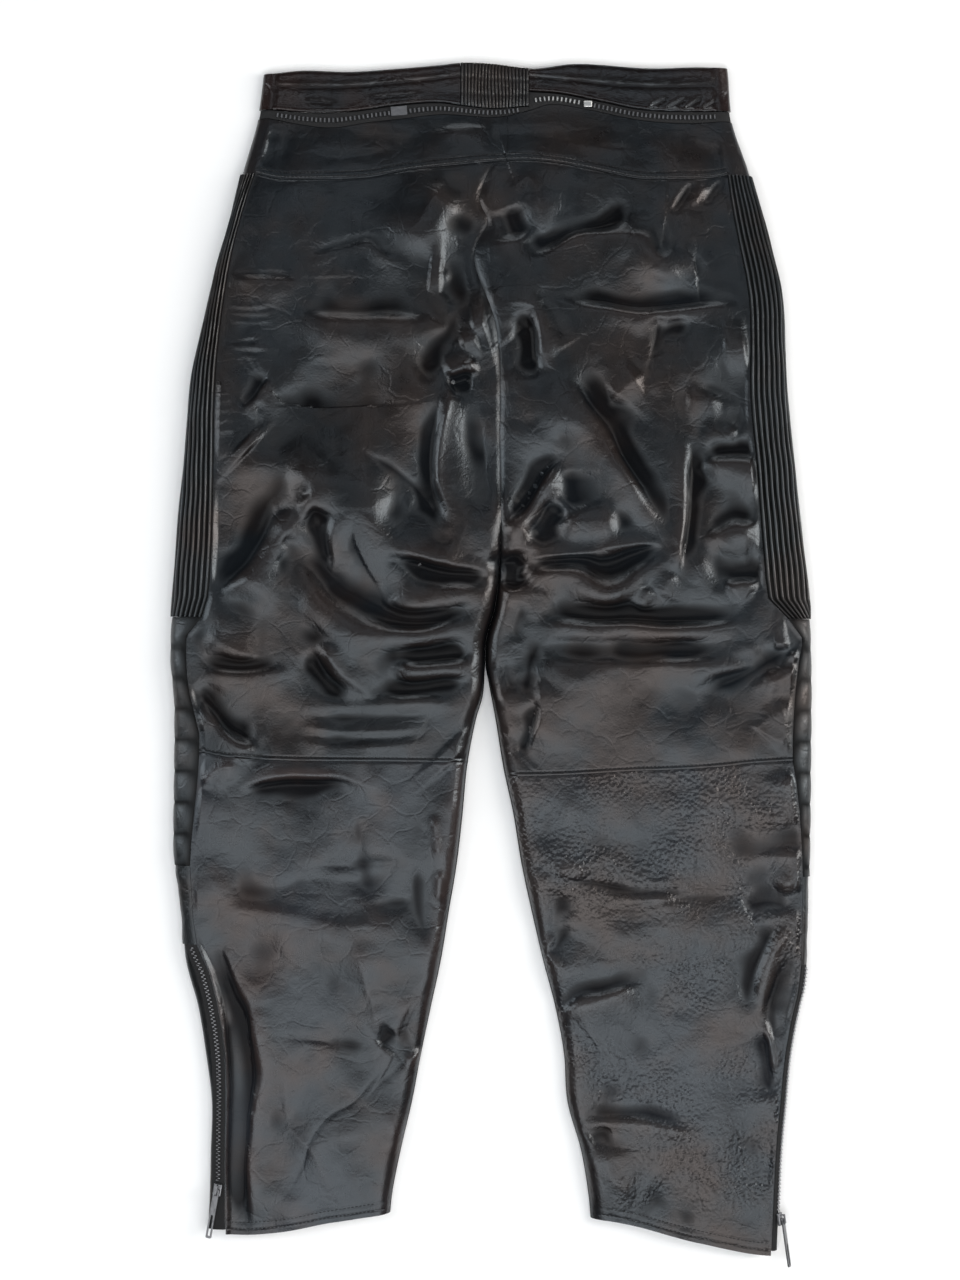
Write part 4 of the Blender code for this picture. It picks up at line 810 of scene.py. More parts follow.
def add_piece(name, mesh, slot):
    made = bpy.data.objects.new(name, mesh)
    mesh.materials.append(MATERIALS[slot])
    bpy.context.scene.collection.objects.link(made)
    return made


def finish_piece(piece, nodes):
    """The piece rides with the trousers and stands for its nodes. cut, the flat panel's width and length in
    millimetres, and share, its area as a share of that rectangle, are given to side pieces but not used."""
    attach(piece, BODY)
    if nodes:
        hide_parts(*nodes)
    return piece


# Materials

def nodes_of(name):
    made = bpy.data.materials.new(name)
    made.use_nodes = True
    tree = made.node_tree
    return made, tree, tree.nodes["Principled BSDF"]


def add_node(tree, kind, links=(), **values):
    """A node with its values set, and its named inputs linked to other nodes' outputs."""
    node = tree.nodes.new(kind)
    for name, value in values.items():
        if hasattr(node, name):
            setattr(node, name, value)
        else:
            node.inputs[name.replace("_", " ")].default_value = value
    for name, output in links:
        tree.links.new(output, node.inputs[name])
    return node


def colour_steps(tree, factor, *stops):
    """A colour ramp over a factor. Each stop is a place and a grey or a colour."""
    ramp = tree.nodes.new("ShaderNodeValToRGB")
    elements = ramp.color_ramp.elements
    while len(elements) < len(stops):
        elements.new(0.5)
    for element, (place, value) in zip(elements, stops):
        element.position = place
        element.color = (*(value if hasattr(value, "__len__") else (value,) * 3), 1)
    tree.links.new(factor, ramp.inputs["Fac"])
    return ramp.outputs["Color"]


def mixed(tree, factor, first, second):
    """Colour between two outputs or fixed colours."""
    node = tree.nodes.new("ShaderNodeMix")
    node.data_type = "RGBA"
    colour_inputs = [socket for socket in node.inputs if socket.type == "RGBA"]
    for socket, value in zip(colour_inputs, (first, second)):
        if hasattr(value, "links"):
            tree.links.new(value, socket)
        else:
            socket.default_value = (*value, 1)
    tree.links.new(factor, next(socket for socket in node.inputs if socket.type == "VALUE"))
    return next(socket for socket in node.outputs if socket.type == "RGBA")


def times(colour, factor):
    return tuple(factor * value for value in colour)


def noise(tree, place, scale, detail, roughness=0.5, output="Fac"):
    node = add_node(tree, "ShaderNodeTexNoise", [("Vector", place)], Scale=scale, Detail=detail,
                    Roughness=roughness)
    return node.outputs[output]


def cells(tree, place, scale, feature="SMOOTH_F1"):
    node = add_node(tree, "ShaderNodeTexVoronoi", [("Vector", place)], feature=feature, Scale=scale)
    return node.outputs["Distance"]


def raised(tree, height, strength, distance, under=None, invert=False):
    """Normals of a relief, over those of the relief under it. Strength is a number or an output."""
    links = [("Height", height)]
    if under:
        links.append(("Normal", under))
    fixed = {} if hasattr(strength, "links") else {"Strength": strength}
    if not fixed:
        links.append(("Strength", strength))
    node = add_node(tree, "ShaderNodeBump", links, Distance=distance, invert=invert, **fixed)
    return node.outputs["Normal"]


def cracks(tree, place):
    """Fine crease lines: the borders of large cells, bent out of straight."""
    bend = noise(tree, place, 20.0, 3.0, output="Color")
    push = add_node(tree, "ShaderNodeVectorMath", [(0, bend)], operation="SCALE", Scale=0.05)
    bent = add_node(tree, "ShaderNodeVectorMath", [(0, place), (1, push.outputs[0])], operation="ADD")
    return colour_steps(tree, cells(tree, bent.outputs[0], 34.0, "DISTANCE_TO_EDGE"), (0.0, 0.0), (0.07, 1.0))


def leather_relief(tree, place, grain_cell, grain_depth, pebble):
    """Grain, pores, ripples and crease lines, and with pebble coarser cells in places."""
    normal = raised(tree, cells(tree, place, 1 / grain_cell), 0.35, grain_depth, invert=True)
    normal = raised(tree, noise(tree, place, 900.0, 3.0), 0.25, 0.00025, normal)
    normal = raised(tree, noise(tree, place, 60.0, 3.0), 0.4, 0.0016, normal)
    normal = raised(tree, cracks(tree, place), 0.2, 0.0006, normal)
    if not pebble:
        return normal
    where = colour_steps(tree, noise(tree, place, 14.0, 2.0), (0.45, 0.1), (0.62, 1.0))
    strength = add_node(tree, "ShaderNodeMath", [(0, where)], operation="MULTIPLY")
    strength.inputs[1].default_value = pebble
    return raised(tree, cells(tree, place, 320.0), strength.outputs[0], 0.0018, normal, invert=True)


def leather(name, cool, warm, dark, *, roughness, grain_cell, grain_depth=0.0003, pebble=0.0, hollow=0.42):
    """Worn glossy leather: bluish and brownish patches, browner where worn on ridges, dull in hollows and
    with painted shade there from a lower specular level. hollow is the wear_and_shade at which a hollow
    begins."""
    made, tree, shader = nodes_of(name)
    place = add_node(tree, "ShaderNodeTexCoord").outputs["Object"]
    wear_and_shade = add_node(tree, "ShaderNodeAttribute", attribute_name="wear_and_shade").outputs["Fac"]
    patches = noise(tree, place, 7.0, 2.0)
    brown = noise(tree, place, 12.0, 3.0, 0.55)
    rubbed = noise(tree, place, 55.0, 6.0, 0.7)
    colour = mixed(tree, colour_steps(tree, patches, (0.42, 0.0), (0.68, 1.0)), dark, cool)
    colour = mixed(tree, colour_steps(tree, brown, (0.5, 0.0), (0.75, 1.0)), colour, warm)
    colour = mixed(tree, colour_steps(tree, wear_and_shade, (0.5, 0.0), (1.0, 0.6)), colour, times(warm, 2.4))
    gloss = colour_steps(tree, rubbed, (0.3, roughness - 0.05), (0.7, roughness + 0.06))
    dull = colour_steps(tree, wear_and_shade, (hollow - 0.32, 1.0), (hollow, 0.0))
    tint_share = colour_steps(tree, brown, (0.46, 0.0), (0.66, 1.0))
    sockets = {
        "Base Color": colour,
        "Roughness": mixed(tree, dull, gloss, (0.95, 0.95, 0.95)),
        "Normal": leather_relief(tree, place, grain_cell, grain_depth, pebble),
        "Specular Tint": mixed(tree, tint_share, (0.84, 0.93, 1.0), (1.0, 0.89, 0.85)),
        # A lower specular level in the hollows: painted shade there
        "Specular IOR Level": colour_steps(tree, wear_and_shade, (hollow - 0.34, 0.06), (hollow - 0.02, 0.5)),
    }
    for socket, output in sockets.items():
        tree.links.new(output, shader.inputs[socket])
    shader.inputs["Coat Weight"].default_value = 0.12
    shader.inputs["Coat Roughness"].default_value = 0.26
    return made


def fabric(name, colour, cell):
    """Woven tape or thread: crossed fine waves."""
    made, tree, shader = nodes_of(name)
    place = add_node(tree, "ShaderNodeTexCoord").outputs["Object"]
    crossed = [
        (k, add_node(tree, "ShaderNodeTexWave", [("Vector", place)], Scale=0.32 / cell,
                     bands_direction=way).outputs["Fac"])
        for k, way in enumerate("XY")
    ]
    weave = add_node(tree, "ShaderNodeMath", crossed, operation="MULTIPLY").outputs[0]
    tree.links.new(mixed(tree, weave, times(colour, 0.5), times(colour, 1.5)), shader.inputs["Base Color"])
    tree.links.new(raised(tree, weave, 0.6, 0.0003), shader.inputs["Normal"])
    shader.inputs["Roughness"].default_value = 0.85
    return made


def metal(name, colour, roughness):
    """Zip metal with rubbed and dull places."""
    made, tree, shader = nodes_of(name)
    place = add_node(tree, "ShaderNodeTexCoord").outputs["Object"]
    rubbed = noise(tree, place, 400.0, 4.0)
    gloss = colour_steps(tree, rubbed, (0.35, roughness), (0.7, roughness + 0.2))
    tree.links.new(mixed(tree, rubbed, times(colour, 0.55), colour), shader.inputs["Base Color"])
    tree.links.new(gloss, shader.inputs["Roughness"])
    tree.links.new(raised(tree, rubbed, 0.3, 0.0002), shader.inputs["Normal"])
    shader.inputs["Metallic"].default_value = 1.0
    return made


MATERIALS = {
    "leather": leather(
        "leather", (0.0045, 0.006, 0.008), (0.007, 0.0048, 0.0042), (0.002, 0.002, 0.0025),
        roughness=0.31, grain_cell=0.0016,
    ),
    "calf_leather": leather(
        "calf_leather", (0.010, 0.012, 0.017), (0.016, 0.011, 0.010), (0.005, 0.005, 0.006),
        roughness=0.29, grain_cell=0.0017,
    ),
    "pebble_leather": leather(
        "pebble_leather", (0.010, 0.011, 0.014), (0.014, 0.011, 0.010), (0.005, 0.005, 0.006),
        roughness=0.29, grain_cell=0.0018, grain_depth=0.0005, pebble=0.6,
    ),
    "band_leather": leather(
        "band_leather", (0.008, 0.006, 0.006), (0.009, 0.004, 0.0035), (0.003, 0.002, 0.002),
        roughness=0.22, grain_cell=0.0014,
    ),
    # Side leather: its hollows begin higher, so more of the channels between ribs and pads take painted shade
    "side_leather": leather(
        "side_leather", (0.010, 0.011, 0.012), (0.012, 0.009, 0.008), (0.004, 0.004, 0.004),
        roughness=0.34, grain_cell=0.0012, hollow=0.48,
    ),
    "zip_tape": fabric("zip_tape", (0.008, 0.008, 0.009), 0.0009),
    "thread": fabric("thread", (0.010, 0.010, 0.011), 0.0004),
    "zip_metal": metal("zip_metal", (0.26, 0.26, 0.27), 0.3),
    "bright_metal": metal("bright_metal", (0.78, 0.77, 0.75), 0.25),
}


# Back panels

def ends_at(line, edges, shares, offset):
    """y of a line across, at each share of the way between two edges that depend on y."""
    y = np.full(len(shares), float(np.mean([value for _, value in line])))
    for _ in range(8):
        low, high = edges(y)
        y = smooth(line, low + (high - low) * shares) + offset
    return y


def shares_across(size):
    """Shares of a length, close together near both ends."""
    if size < 4 * EDGE_ZONE:
        return np.linspace(0, 1, int(size / (0.7 * PANEL_CELL)) + 1)
    edge = np.arange(0, EDGE_ZONE, EDGE_CELL) / size
    middle = np.linspace(EDGE_ZONE / size, 1 - EDGE_ZONE / size, int((size - 2 * EDGE_ZONE) / PANEL_CELL) + 1)
    return np.concatenate([edge, middle, 1 - edge[::-1]])


def panel_places(side, top, foot, near, gaps, turned):
    """x and y of a panel's fine grid, between a line above and one below, from its near edge, or the back's
    inner edge, to the side seam."""
    sign = SIDES[side]["sign"]
    half = SEAM_GAP / 2

    def edges(y):
        first = (inner(side, y) if near is None else near) + sign * half
        return first, side_seam(side, y) - (0 if turned else sign * half)

    middle_y = (np.mean([y for _, y in top]) + np.mean([y for _, y in foot])) / 2
    first, last = edges(np.array([middle_y]))
    shares = shares_across(float(abs(last - first)[0]))
    upper = ends_at(top, edges, shares, -half * gaps[0])
    lower = ends_at(foot, edges, shares, half * gaps[1])
    down = shares_across(float(np.abs(upper - lower).max()))[:, None]
    y = upper * (1 - down) + lower * down
    first, last = edges(y)
    return first + (last - first) * shares, y


def wear_and_shade_share(z):
    """How much each point stands above its neighbourhood: wear on the ridges, painted shade in the hollows.
    """
    wide = z.copy()
    span = 2 * WEAR_AND_SHADE_BLUR + 1
    for axis in (0, 1):
        margins = [(WEAR_AND_SHADE_BLUR + 1, WEAR_AND_SHADE_BLUR) if a == axis else (0, 0) for a in (0, 1)]
        total = np.cumsum(np.pad(wide, margins, mode="edge"), axis=axis)
        places = np.arange(z.shape[axis])
        wide = (np.take(total, places + span, axis=axis) - np.take(total, places, axis=axis)) / span
    return np.clip(EVEN_WEAR_AND_SHADE + (z - wide) / WEAR_AND_SHADE_RANGE, 0, 1)


def add_wear_and_shade(piece, share):
    """Stores the wear and painted shade on the outer side's points."""
    values = np.full(len(piece.data.vertices), EVEN_WEAR_AND_SHADE)
    flat = share.reshape(-1)
    values[:len(flat)] = flat
    piece.data.attributes["wear_and_shade"].data.foreach_set("value", values)


def back_panel(name, side, top, foot, slot, *, near=None, gaps=(1, 1), turned=False,
               thickness=WALL, lift=0.0, relief=None):
    """A back panel's fine shell. With turned, it goes on round the outer side and under."""
    x, y = panel_places(side, top, foot, near, gaps, turned)
    z = back_height(side, x, y) + lift
    if relief:
        z = z + relief(side, x, y)
    outer = np.stack([x, y, z], axis=2)
    normal = grid_normals(outer)
    normal *= np.sign(normal[:, :, 2:3])
    inside = outer - thickness * normal
    inside[:, :, 2] = np.maximum(inside[:, :, 2], EDGE_HEIGHT - 0.4)
    if turned:
        outer_turn, inner_turn = [], []
        for row_y in y[:, -1]:
            length = turn_length(side, row_y)
            arcs = np.linspace(0, length, int(TURN_LENGTH / PANEL_CELL))[1:]
            proud = lift * ease(length - UNDERLAP - 1, length - UNDERLAP - 9, arcs)
            outer_turn.append(turn_points(side, row_y, arcs, proud))
            inner_turn.append(turn_points(side, row_y, arcs, proud - thickness))
        outer = np.concatenate([outer, np.stack(outer_turn)], axis=1)
        inside = np.concatenate([inside, np.stack(inner_turn)], axis=1)
    piece = shell(f"{name}_cloth", outer, inside, slot, INNER_STEP)
    # Browner worn ridges, and painted shade in the hollows of the folds
    add_wear_and_shade(piece, wear_and_shade_share(outer[:, :, 2]))
    return finish_piece(piece, [name])


def folds_of(table, x, y):
    """The sum of a short table's folds."""
    return sum(
        fold_height(height, left, right, from_photo(points), x, y) for height, left, right, *points in table
    )


def band_relief(side, x, y):
    """The waistband's two padded channels with the sewn line between them, and its small wrinkles."""
    line = smooth(from_photo(BAND_CHANNELS[side]), x)
    foot = smooth(SIDES[side]["band_bottom"], x)
    top = smooth(BAND_TOP, x)
    above = np.clip((y - line) / (top - line), 0, 1)
    below = np.clip((y - foot) / (line - foot), 0, 1)
    pads = np.sin(math.pi * np.where(y > line, above, below)) ** 0.4
    bead = mark(BAND_BEAD, y - foot - BAND_BEAD_ABOVE)
    fade = ease(0, 6, np.abs(side_seam(side, y) - x))
    return (BAND_PAD * pads + bead + folds_of(BAND_CREASES, x, y) - BAND_DROP) * fade


def backs():
    for side, its in SIDES.items():
        calf = "calf_leather" if side == "left" else "pebble_leather"
        back_panel(f"yoke_{side}", side, TAPE_BOTTOM, YOKE_SEAM, "leather",
                   near=YOKE_CENTRE, turned=True)
        back_panel(f"seat_{side}", side, YOKE_SEAM, its["knee_seam"], "leather")
        back_panel(f"calf_{side}", side, its["knee_seam"], its["hem"], calf,
                   gaps=(1, 0))
        back_panel(f"waistband_{side}", side, BAND_TOP, its["band_bottom"], "band_leather",
                   near=SHIRR_SPAN[0 if side == "left" else 1], gaps=(0, 1), turned=True,
                   thickness=BAND_THICK, lift=BAND_LIFT, relief=band_relief)


# Side pieces

def side_shell(name, side, ys, profile, slot, record_slot, cut, share, *, thickness=WALL, first=0.0,
               last=None, lift=0.0, columns=80, step=INNER_STEP):
    """A piece on the outer side. Its profile says how far the skin is raised at each length and height."""
    top, foot = ys[0] - SEAM_GAP / 2, ys[-1] + SEAM_GAP / 2
    outer, inside, heights = [], [], []
    rows = np.linspace(top, foot, int((top - foot) / (2 * PANEL_CELL)) + 2)
    for y in rows:
        end = turn_length(side, y) if last is None else last
        arcs = np.linspace(first + SEAM_GAP / 2, end, columns + 1)
        rise = profile(side, arcs, y, end)
        heights.append(rise)
        outer.append(turn_points(side, y, arcs, lift + rise))
        inside.append(turn_points(side, y, arcs, lift - thickness))
    piece = shell(f"{name}_cloth", np.stack(outer), np.stack(inside), slot, step, 60)
    heights = np.stack(heights)
    # Painted shade in the channels between the ribs and pads, from their heights
    if heights.max() > 1:
        add_wear_and_shade(piece, np.clip(0.6 * heights / heights.max(), 0, 1))
    return finish_piece(piece, [name])


def ribbed(side, arcs, y, end):
    """Lengthwise cords with sharp channels between them, plain under the leg."""
    floor = end - UNDERLAP - RIB_FLAT
    sway = 0.35 * math.sin(y / 21.0 + (1.0 if side == "left" else 0.0)) + 0.25 * math.sin(y / 7.3)
    phase = np.clip((arcs + sway * np.sin(math.pi * np.clip(arcs / floor, 0, 1))) / floor, 0, 1) * RIBS
    cords = np.abs(np.sin(math.pi * phase)) ** 1.7
    uneven = 1 + 0.12 * np.sin(phase.astype(int) * 2.4 + y / 13.0)
    return RIB_HEIGHT * cords * uneven * (arcs < floor) - 0.2 * (arcs < floor)


def quilted(side, arcs, y, end):
    """Pads one above the other with a sewn channel between them."""
    top = SIDES[side]["rib_foot"]
    floor = end - UNDERLAP - QUILT_FLAT
    across = np.sin(math.pi * np.clip(arcs / floor, 0, 1)) ** 0.5
    slant = 0.9 * np.sin(math.pi * np.clip(arcs / floor, 0, 1))
    pad = np.abs(np.sin(math.pi * (top - y + slant) / QUILT_PITCH)) ** 0.35
    return QUILT_HEIGHT * pad * across


def plain(side, arcs, y, end):
    """Slightly uneven leather, even at its edges."""
    height, length, seed = SIDE_UNEVEN
    middle = np.sin(math.pi * np.clip(arcs / max(end - UNDERLAP, 1), 0, 1))
    return height * middle * waves(arcs, np.full_like(arcs, y), length, seed)


def flat_strip(side, arcs, y, end):
    return np.zeros_like(arcs)


def sides():
    for side in SIDES:
        for name, first, last, profile, cut, share, more in (
            ("rib_side", "yoke_side", "rib_foot", ribbed, (78, 395), 0.95, {"columns": 150}),
            ("knee_side", "rib_foot", "knee_foot", quilted, (60, 222), 0.9, {}),
            ("shin_side", "knee_foot", "zip_top", plain, (46, 74), 0.95, {}),
            ("gusset", "zip_top", "hem_side", flat_strip, (44, 254), 0.9,
             {"thickness": GUSSET_THICK, "lift": GUSSET_LIFT}),
        ):
            side_shell(f"{name}_{side}", side, side_rows(side, first, last), profile, "side_leather",
                       "leather", cut, share, **more)
        side_shell(f"calf_tape_{side}", side, side_rows(side, "zip_top", "hem_side"), flat_strip, "zip_tape",
                   "zip_tape", (12, 254), None, thickness=TAPE_THICK, lift=CALF_TAPE_LIFT, first=TAPE_ARCS[0],
                   last=TAPE_ARCS[1], columns=14, step=2)


# Waist

def shirring():
    """The gathered stretch piece at the centre back: upright ribs on a plain inside."""
    left, right = SHIRR_SPAN[0] + SEAM_GAP / 2, SHIRR_SPAN[1] - SEAM_GAP / 2
    x = np.linspace(left, right, 8 * SHIRR_RIBS + 1)
    down = np.linspace(0, 1, 31)[:, None]
    top = smooth(BAND_TOP, x)
    foot = smooth(BAND_BOTTOM_LEFT, np.minimum(x, 32)) + SEAM_GAP / 2
    y = top * (1 - down) + foot * down
    sway = 0.5 * np.sin(down * 5.0 + x / 9.0) * np.sin(math.pi * (x - left) / (right - left))
    phase = (x + sway - left) / (right - left) * SHIRR_RIBS
    cords = np.abs(np.sin(math.pi * phase)) ** 0.7
    ends = 1 - 0.3 * np.abs(2 * down - 1) ** 6
    pinch = 1 - 0.15 * bell(down - 0.33, 0.04) - 0.12 * bell(down - 0.7, 0.04)
    base = smooth(PLATEAU, y)
    skin = base + SHIRR_HEIGHT * cords * ends * pinch
    wide = np.broadcast_to(x, y.shape)
    outer = np.stack([wide, y, skin], axis=2)
    inside = np.stack([wide, y, base - BAND_THICK], axis=2)
    piece = shell("waist_shirring_cloth", outer, inside, "side_leather", 4, 60)
    # Painted shade in the channels between the gathered ribs
    add_wear_and_shade(piece, 0.2 + 0.4 * cords * ends)
    finish_piece(piece, ["waist_shirring"])


def tape_middle(x, upper):
    return (smooth(TAPE_BOTTOM, x) + smooth(upper, x)) / 2


def block(shape, centre, along, across, up, size, taper=0.75):
    """A small block with its top drawn in, such as a zip tooth."""
    half = [value / 2 for value in size]
    corners = []
    for end, pull in ((-1, 1.0), (1, taper)):
        for a, b in ((-1, -1), (1, -1), (1, 1), (-1, 1)):
            point = centre + along * a * half[0] * pull + across * b * half[1] * pull + up * end * half[2]
            corners.append(shape.verts.new(point * MM))
    low, high = corners[:4], corners[4:]
    shape.faces.new(low[::-1])
    shape.faces.new(high)
    for k in range(4):
        shape.faces.new((low[k], low[(k + 1) % 4], high[(k + 1) % 4], high[k]))


def made_of(name, shape, slot):
    mesh = bpy.data.meshes.new(name)
    bmesh.ops.recalc_face_normals(shape, faces=shape.faces)
    shape.to_mesh(mesh)
    shape.free()
    return add_piece(name, mesh, slot)


def unit(vector):
    return vector / np.linalg.norm(vector)


def waist_teeth(name, xs, upper, slot):
    shape = bmesh.new()
    for x in xs:
        y = float(tape_middle(x, upper))
        along = unit(np.array([1.0, float(tape_middle(x + 1, upper)) - y, 0]))
        across = np.array([-along[1], along[0], 0])
        block(shape, np.array([x, y, float(smooth(PLATEAU, y)) + 0.1]), along, across, UP, WAIST_TOOTH)
    return made_of(name, shape, slot)


def connection_zip():
    """Two tapes, the covered chain at both ends, the bare bright teeth right of the middle, and the tab."""
    for side, its in SIDES.items():
        back_panel(f"connection_tape_{side}", side, its["band_bottom"], TAPE_BOTTOM, "zip_tape",
                   near=TAPES_MEET, gaps=TAPE_GAPS, turned=True,
                   thickness=TAPE_THICK, lift=TAPE_LIFT)
    for name, xs, upper, slot in (
        ("left", np.arange(*LEFT_TEETH, WAIST_PITCH), BAND_BOTTOM_LEFT, "zip_metal"),
        ("bright", BRIGHT_START + WAIST_PITCH * np.arange(BRIGHT_COUNT), BAND_BOTTOM_RIGHT, "bright_metal"),
        ("right", np.arange(*RIGHT_TEETH, WAIST_PITCH), BAND_BOTTOM_RIGHT, "zip_metal"),
    ):
        nodes = [] if name == "bright" else [f"connection_chain_{name}"]
        finish_piece(waist_teeth(f"connection_teeth_{name}", xs, upper, slot), nodes)
    tab = bmesh.new()
    for x, size in TAB_BLOCKS:
        y = float(tape_middle(x, BAND_BOTTOM_LEFT))
        centre = np.array([x, y + 1.0, float(smooth(PLATEAU, y)) + 0.6])
        block(tab, centre, np.array([1.0, TAB_SLOPE, 0]), np.array([-TAB_SLOPE, 1.0, 0]), UP, size, 1.0)
    finish_piece(made_of("connection_tab", tab, "zip_metal"), [])


# Calf zips

def calf_teeth():
    """Two rows of teeth that mesh along the middle of each calf zip."""
    for side, its in SIDES.items():
        shape = bmesh.new()
        for k, y in enumerate(np.arange(its["zip_top"] - 3, its["slider"] + 7, -CALF_PITCH)):
            arc = CHAIN_ARC + (CALF_STAGGER if k % 2 else -CALF_STAGGER)
            low, high = (turn_points(side, y, [arc], lift)[0] for lift in (0.2, 1.2))
            beside = turn_points(side, y, [arc + 0.5], 0.2)[0]
            along = np.array([0, 1.0, 0])
            block(shape, (low + high) / 2, along, unit(beside - low), unit(high - low), CALF_TOOTH)
        piece = made_of(f"calf_teeth_{side}", shape, "zip_metal")
        finish_piece(piece, [f"calf_chain_{side}"])


# Stitching

def stitch_row(name, side, line, start, end, offset):
    """A row of short threads on the back along a line of x and y, between two places of x. Each is a small
    spindle."""
    fine = np.linspace(start, end, max(int(abs(end - start)), 8))
    y = smooth(line, fine) + offset
    steps = np.concatenate([[0], np.cumsum(np.hypot(np.diff(fine), np.diff(y)))])
    middles = np.arange(STITCH_PITCH / 2, steps[-1], STITCH_PITCH)
    x, y = np.interp(middles, steps, fine), np.interp(middles, steps, y)
    ahead = np.stack([np.gradient(x), np.gradient(y)])
    ahead = ahead / np.hypot(*ahead) * 0.36 * STITCH_PITCH
    ends = [
        np.stack([*place, back_height(side, *place) + STITCH_LIFT], axis=1)
        for place in (np.stack([x, y]) - ahead, np.stack([x, y]) + ahead)
    ]
    shape = bmesh.new()
    for first, last in zip(*ends):
        along = unit(last - first)
        beside = unit(np.cross(along, UP))
        up = np.cross(beside, along)
        rings = []
        for t in (0.12, 0.88):
            middle = first + (last - first) * t
            rings.append([
                shape.verts.new((middle + STITCH_RADIUS * (beside * math.cos(a) + up * math.sin(a))) * MM)
                for a in np.linspace(0, math.tau, 7)[:-1]
            ])
        tips = [shape.verts.new((point - up * 0.35) * MM) for point in (first, last)]
        for k in range(6):
            after = (k + 1) % 6
            shape.faces.new((rings[0][k], rings[0][after], rings[1][after], rings[1][k]))
            shape.faces.new((tips[0], rings[0][after], rings[0][k]))
            shape.faces.new((tips[1], rings[1][k], rings[1][after]))
    piece = made_of(name, shape, "thread")
    piece.data.shade_smooth()
    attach(piece, BODY)


def sewing():
    for side, its in SIDES.items():
        sign = its["sign"]
        centre = YOKE_CENTRE + sign * YOKE_ENDS[0]
        outer_x = float(side_seam(side, its["yoke_side"])) - sign * YOKE_ENDS[1]
        for row, offset in zip(("low", "high"), YOKE_ROWS):
            stitch_row(f"yoke_stitches_{row}_{side}", side, YOKE_SEAM, centre, outer_x, offset)
        hem = its["hem"]
        near_x = float(inner(side, -485.0)) + sign * LEG_ENDS[0]
        far_x = float(side_seam(side, -500.0)) - sign * LEG_ENDS[1]
        for row, offset in zip(("low", "high"), HEM_ROWS):
            stitch_row(f"hem_stitches_{row}_{side}", side, hem, near_x, far_x, offset)
        knee_near = float(inner(side, -92.0)) + sign * LEG_ENDS[0]
        knee_far = float(side_seam(side, its["knee_side"])) - sign * LEG_ENDS[1]
        stitch_row(f"knee_stitches_{side}", side, its["knee_seam"], knee_near, knee_far, KNEE_ROWS[0])


# Front, plain, on the table

def front_panel(name, near, far, top, foot, thickness=WALL):
    """A flat front panel with a slightly uneven inner side and rounded edges, flat underneath. near and far
    give x at y, and top and foot y at x."""
    columns = max(int(abs(far(0.0) - near(0.0)) / FRONT_CELL), 6)
    shares = np.linspace(0, 1, columns + 1)

    def ends(line):
        guess = float(np.mean(line(np.array([0.0]))))
        return line(near(guess) + (far(guess) - near(guess)) * shares)

    high, low = ends(top), ends(foot)
    rows = max(int((high.mean() - low.mean()) / FRONT_CELL), 4)
    down = np.linspace(0, 1, rows + 1)[:, None]
    y = high * (1 - down) + low * down
    x = near(y) + (far(y) - near(y)) * shares
    edge = np.minimum(np.minimum(shares, 1 - shares) * columns, np.minimum(down, 1 - down) * rows)
    height, length, seed = FRONT_UNEVEN
    z = thickness * (0.6 + 0.4 * ease(-0.6, 1.2, edge))
    z = z + height * waves(x, y, length, seed) * ease(0, 2, edge)
    under = np.stack([x, y, np.zeros_like(x)], axis=2)
    piece = shell(f"{name}_cloth", np.stack([x, y, z], axis=2), under, "leather")
    finish_piece(piece, [name])


def level(value):
    """A line across or down that stays at one value."""
    return lambda place: np.full(np.shape(place), value)


def front():
    half = SEAM_GAP / 2
    for side, its in SIDES.items():
        sign = its["sign"]

        def far(y, side=side, sign=sign):
            return under_end(side, y) - sign * FRONT_GAP

        def leg(y, side=side, sign=sign):
            return inner(side, np.minimum(y, 188.0)) + sign * half

        middle = level(FRONT_CENTRE + sign * half)
        fly_edge = level(FRONT_CENTRE + sign * FLY_HALF + sign * half)
        front_panel(f"front_waistband_{side}", middle, far, lambda x: smooth(BAND_TOP, x),
                    level(FRONT_WAIST + SEAM_GAP), BAND_THICK)
        front_panel(f"front_hip_{side}", fly_edge, far, level(FRONT_WAIST - half), level(FLY_FOOT + half))
        front_panel(f"front_thigh_{side}", leg, far, level(FLY_FOOT - half), level(FRONT_KNEE_TOP + half))
        front_panel(f"front_knee_{side}", leg, far, level(FRONT_KNEE_TOP - half),
                    level(FRONT_KNEE_FOOT + half))
        front_panel(f"front_shin_{side}", leg, far, level(FRONT_KNEE_FOOT - half),
                    lambda x, its=its: smooth(its["hem"], x) + half)
    front_panel("fly", level(FRONT_CENTRE - FLY_HALF + half), level(FRONT_CENTRE + FLY_HALF - half),
                level(FRONT_WAIST - half), level(FLY_FOOT + half))


# Stage

def floor():
    bpy.ops.mesh.primitive_plane_add(size=8, location=(0, 0, -0.0004))
    made = bpy.context.object
    made.name = "floor"
    paint, tree, shader = nodes_of("floor")
    shader.inputs["Base Color"].default_value = (0.94, 0.94, 0.94, 1)
    shader.inputs["Roughness"].default_value = 0.7
    made.data.materials.append(paint)


# Soft box over the legs, with tubes in it, in metres. Rows: far y, near y, strength. Columns: left, right
SOFTBOX_HEIGHT = 3.0
SOFTBOX_ROWS = ((-3.2, -0.10, 1.15),)
SOFTBOX_COLUMNS = ((-1.6, 1.7),)
TUBE_ROWS = ((-0.60, -0.42, 7.0), (-1.2, -1.0, 12.0), (-1.8, -1.6, 12.0))
TUBE_COLUMNS = ((-1.5, -0.7), (-0.35, 0.4), (0.75, 1.6))

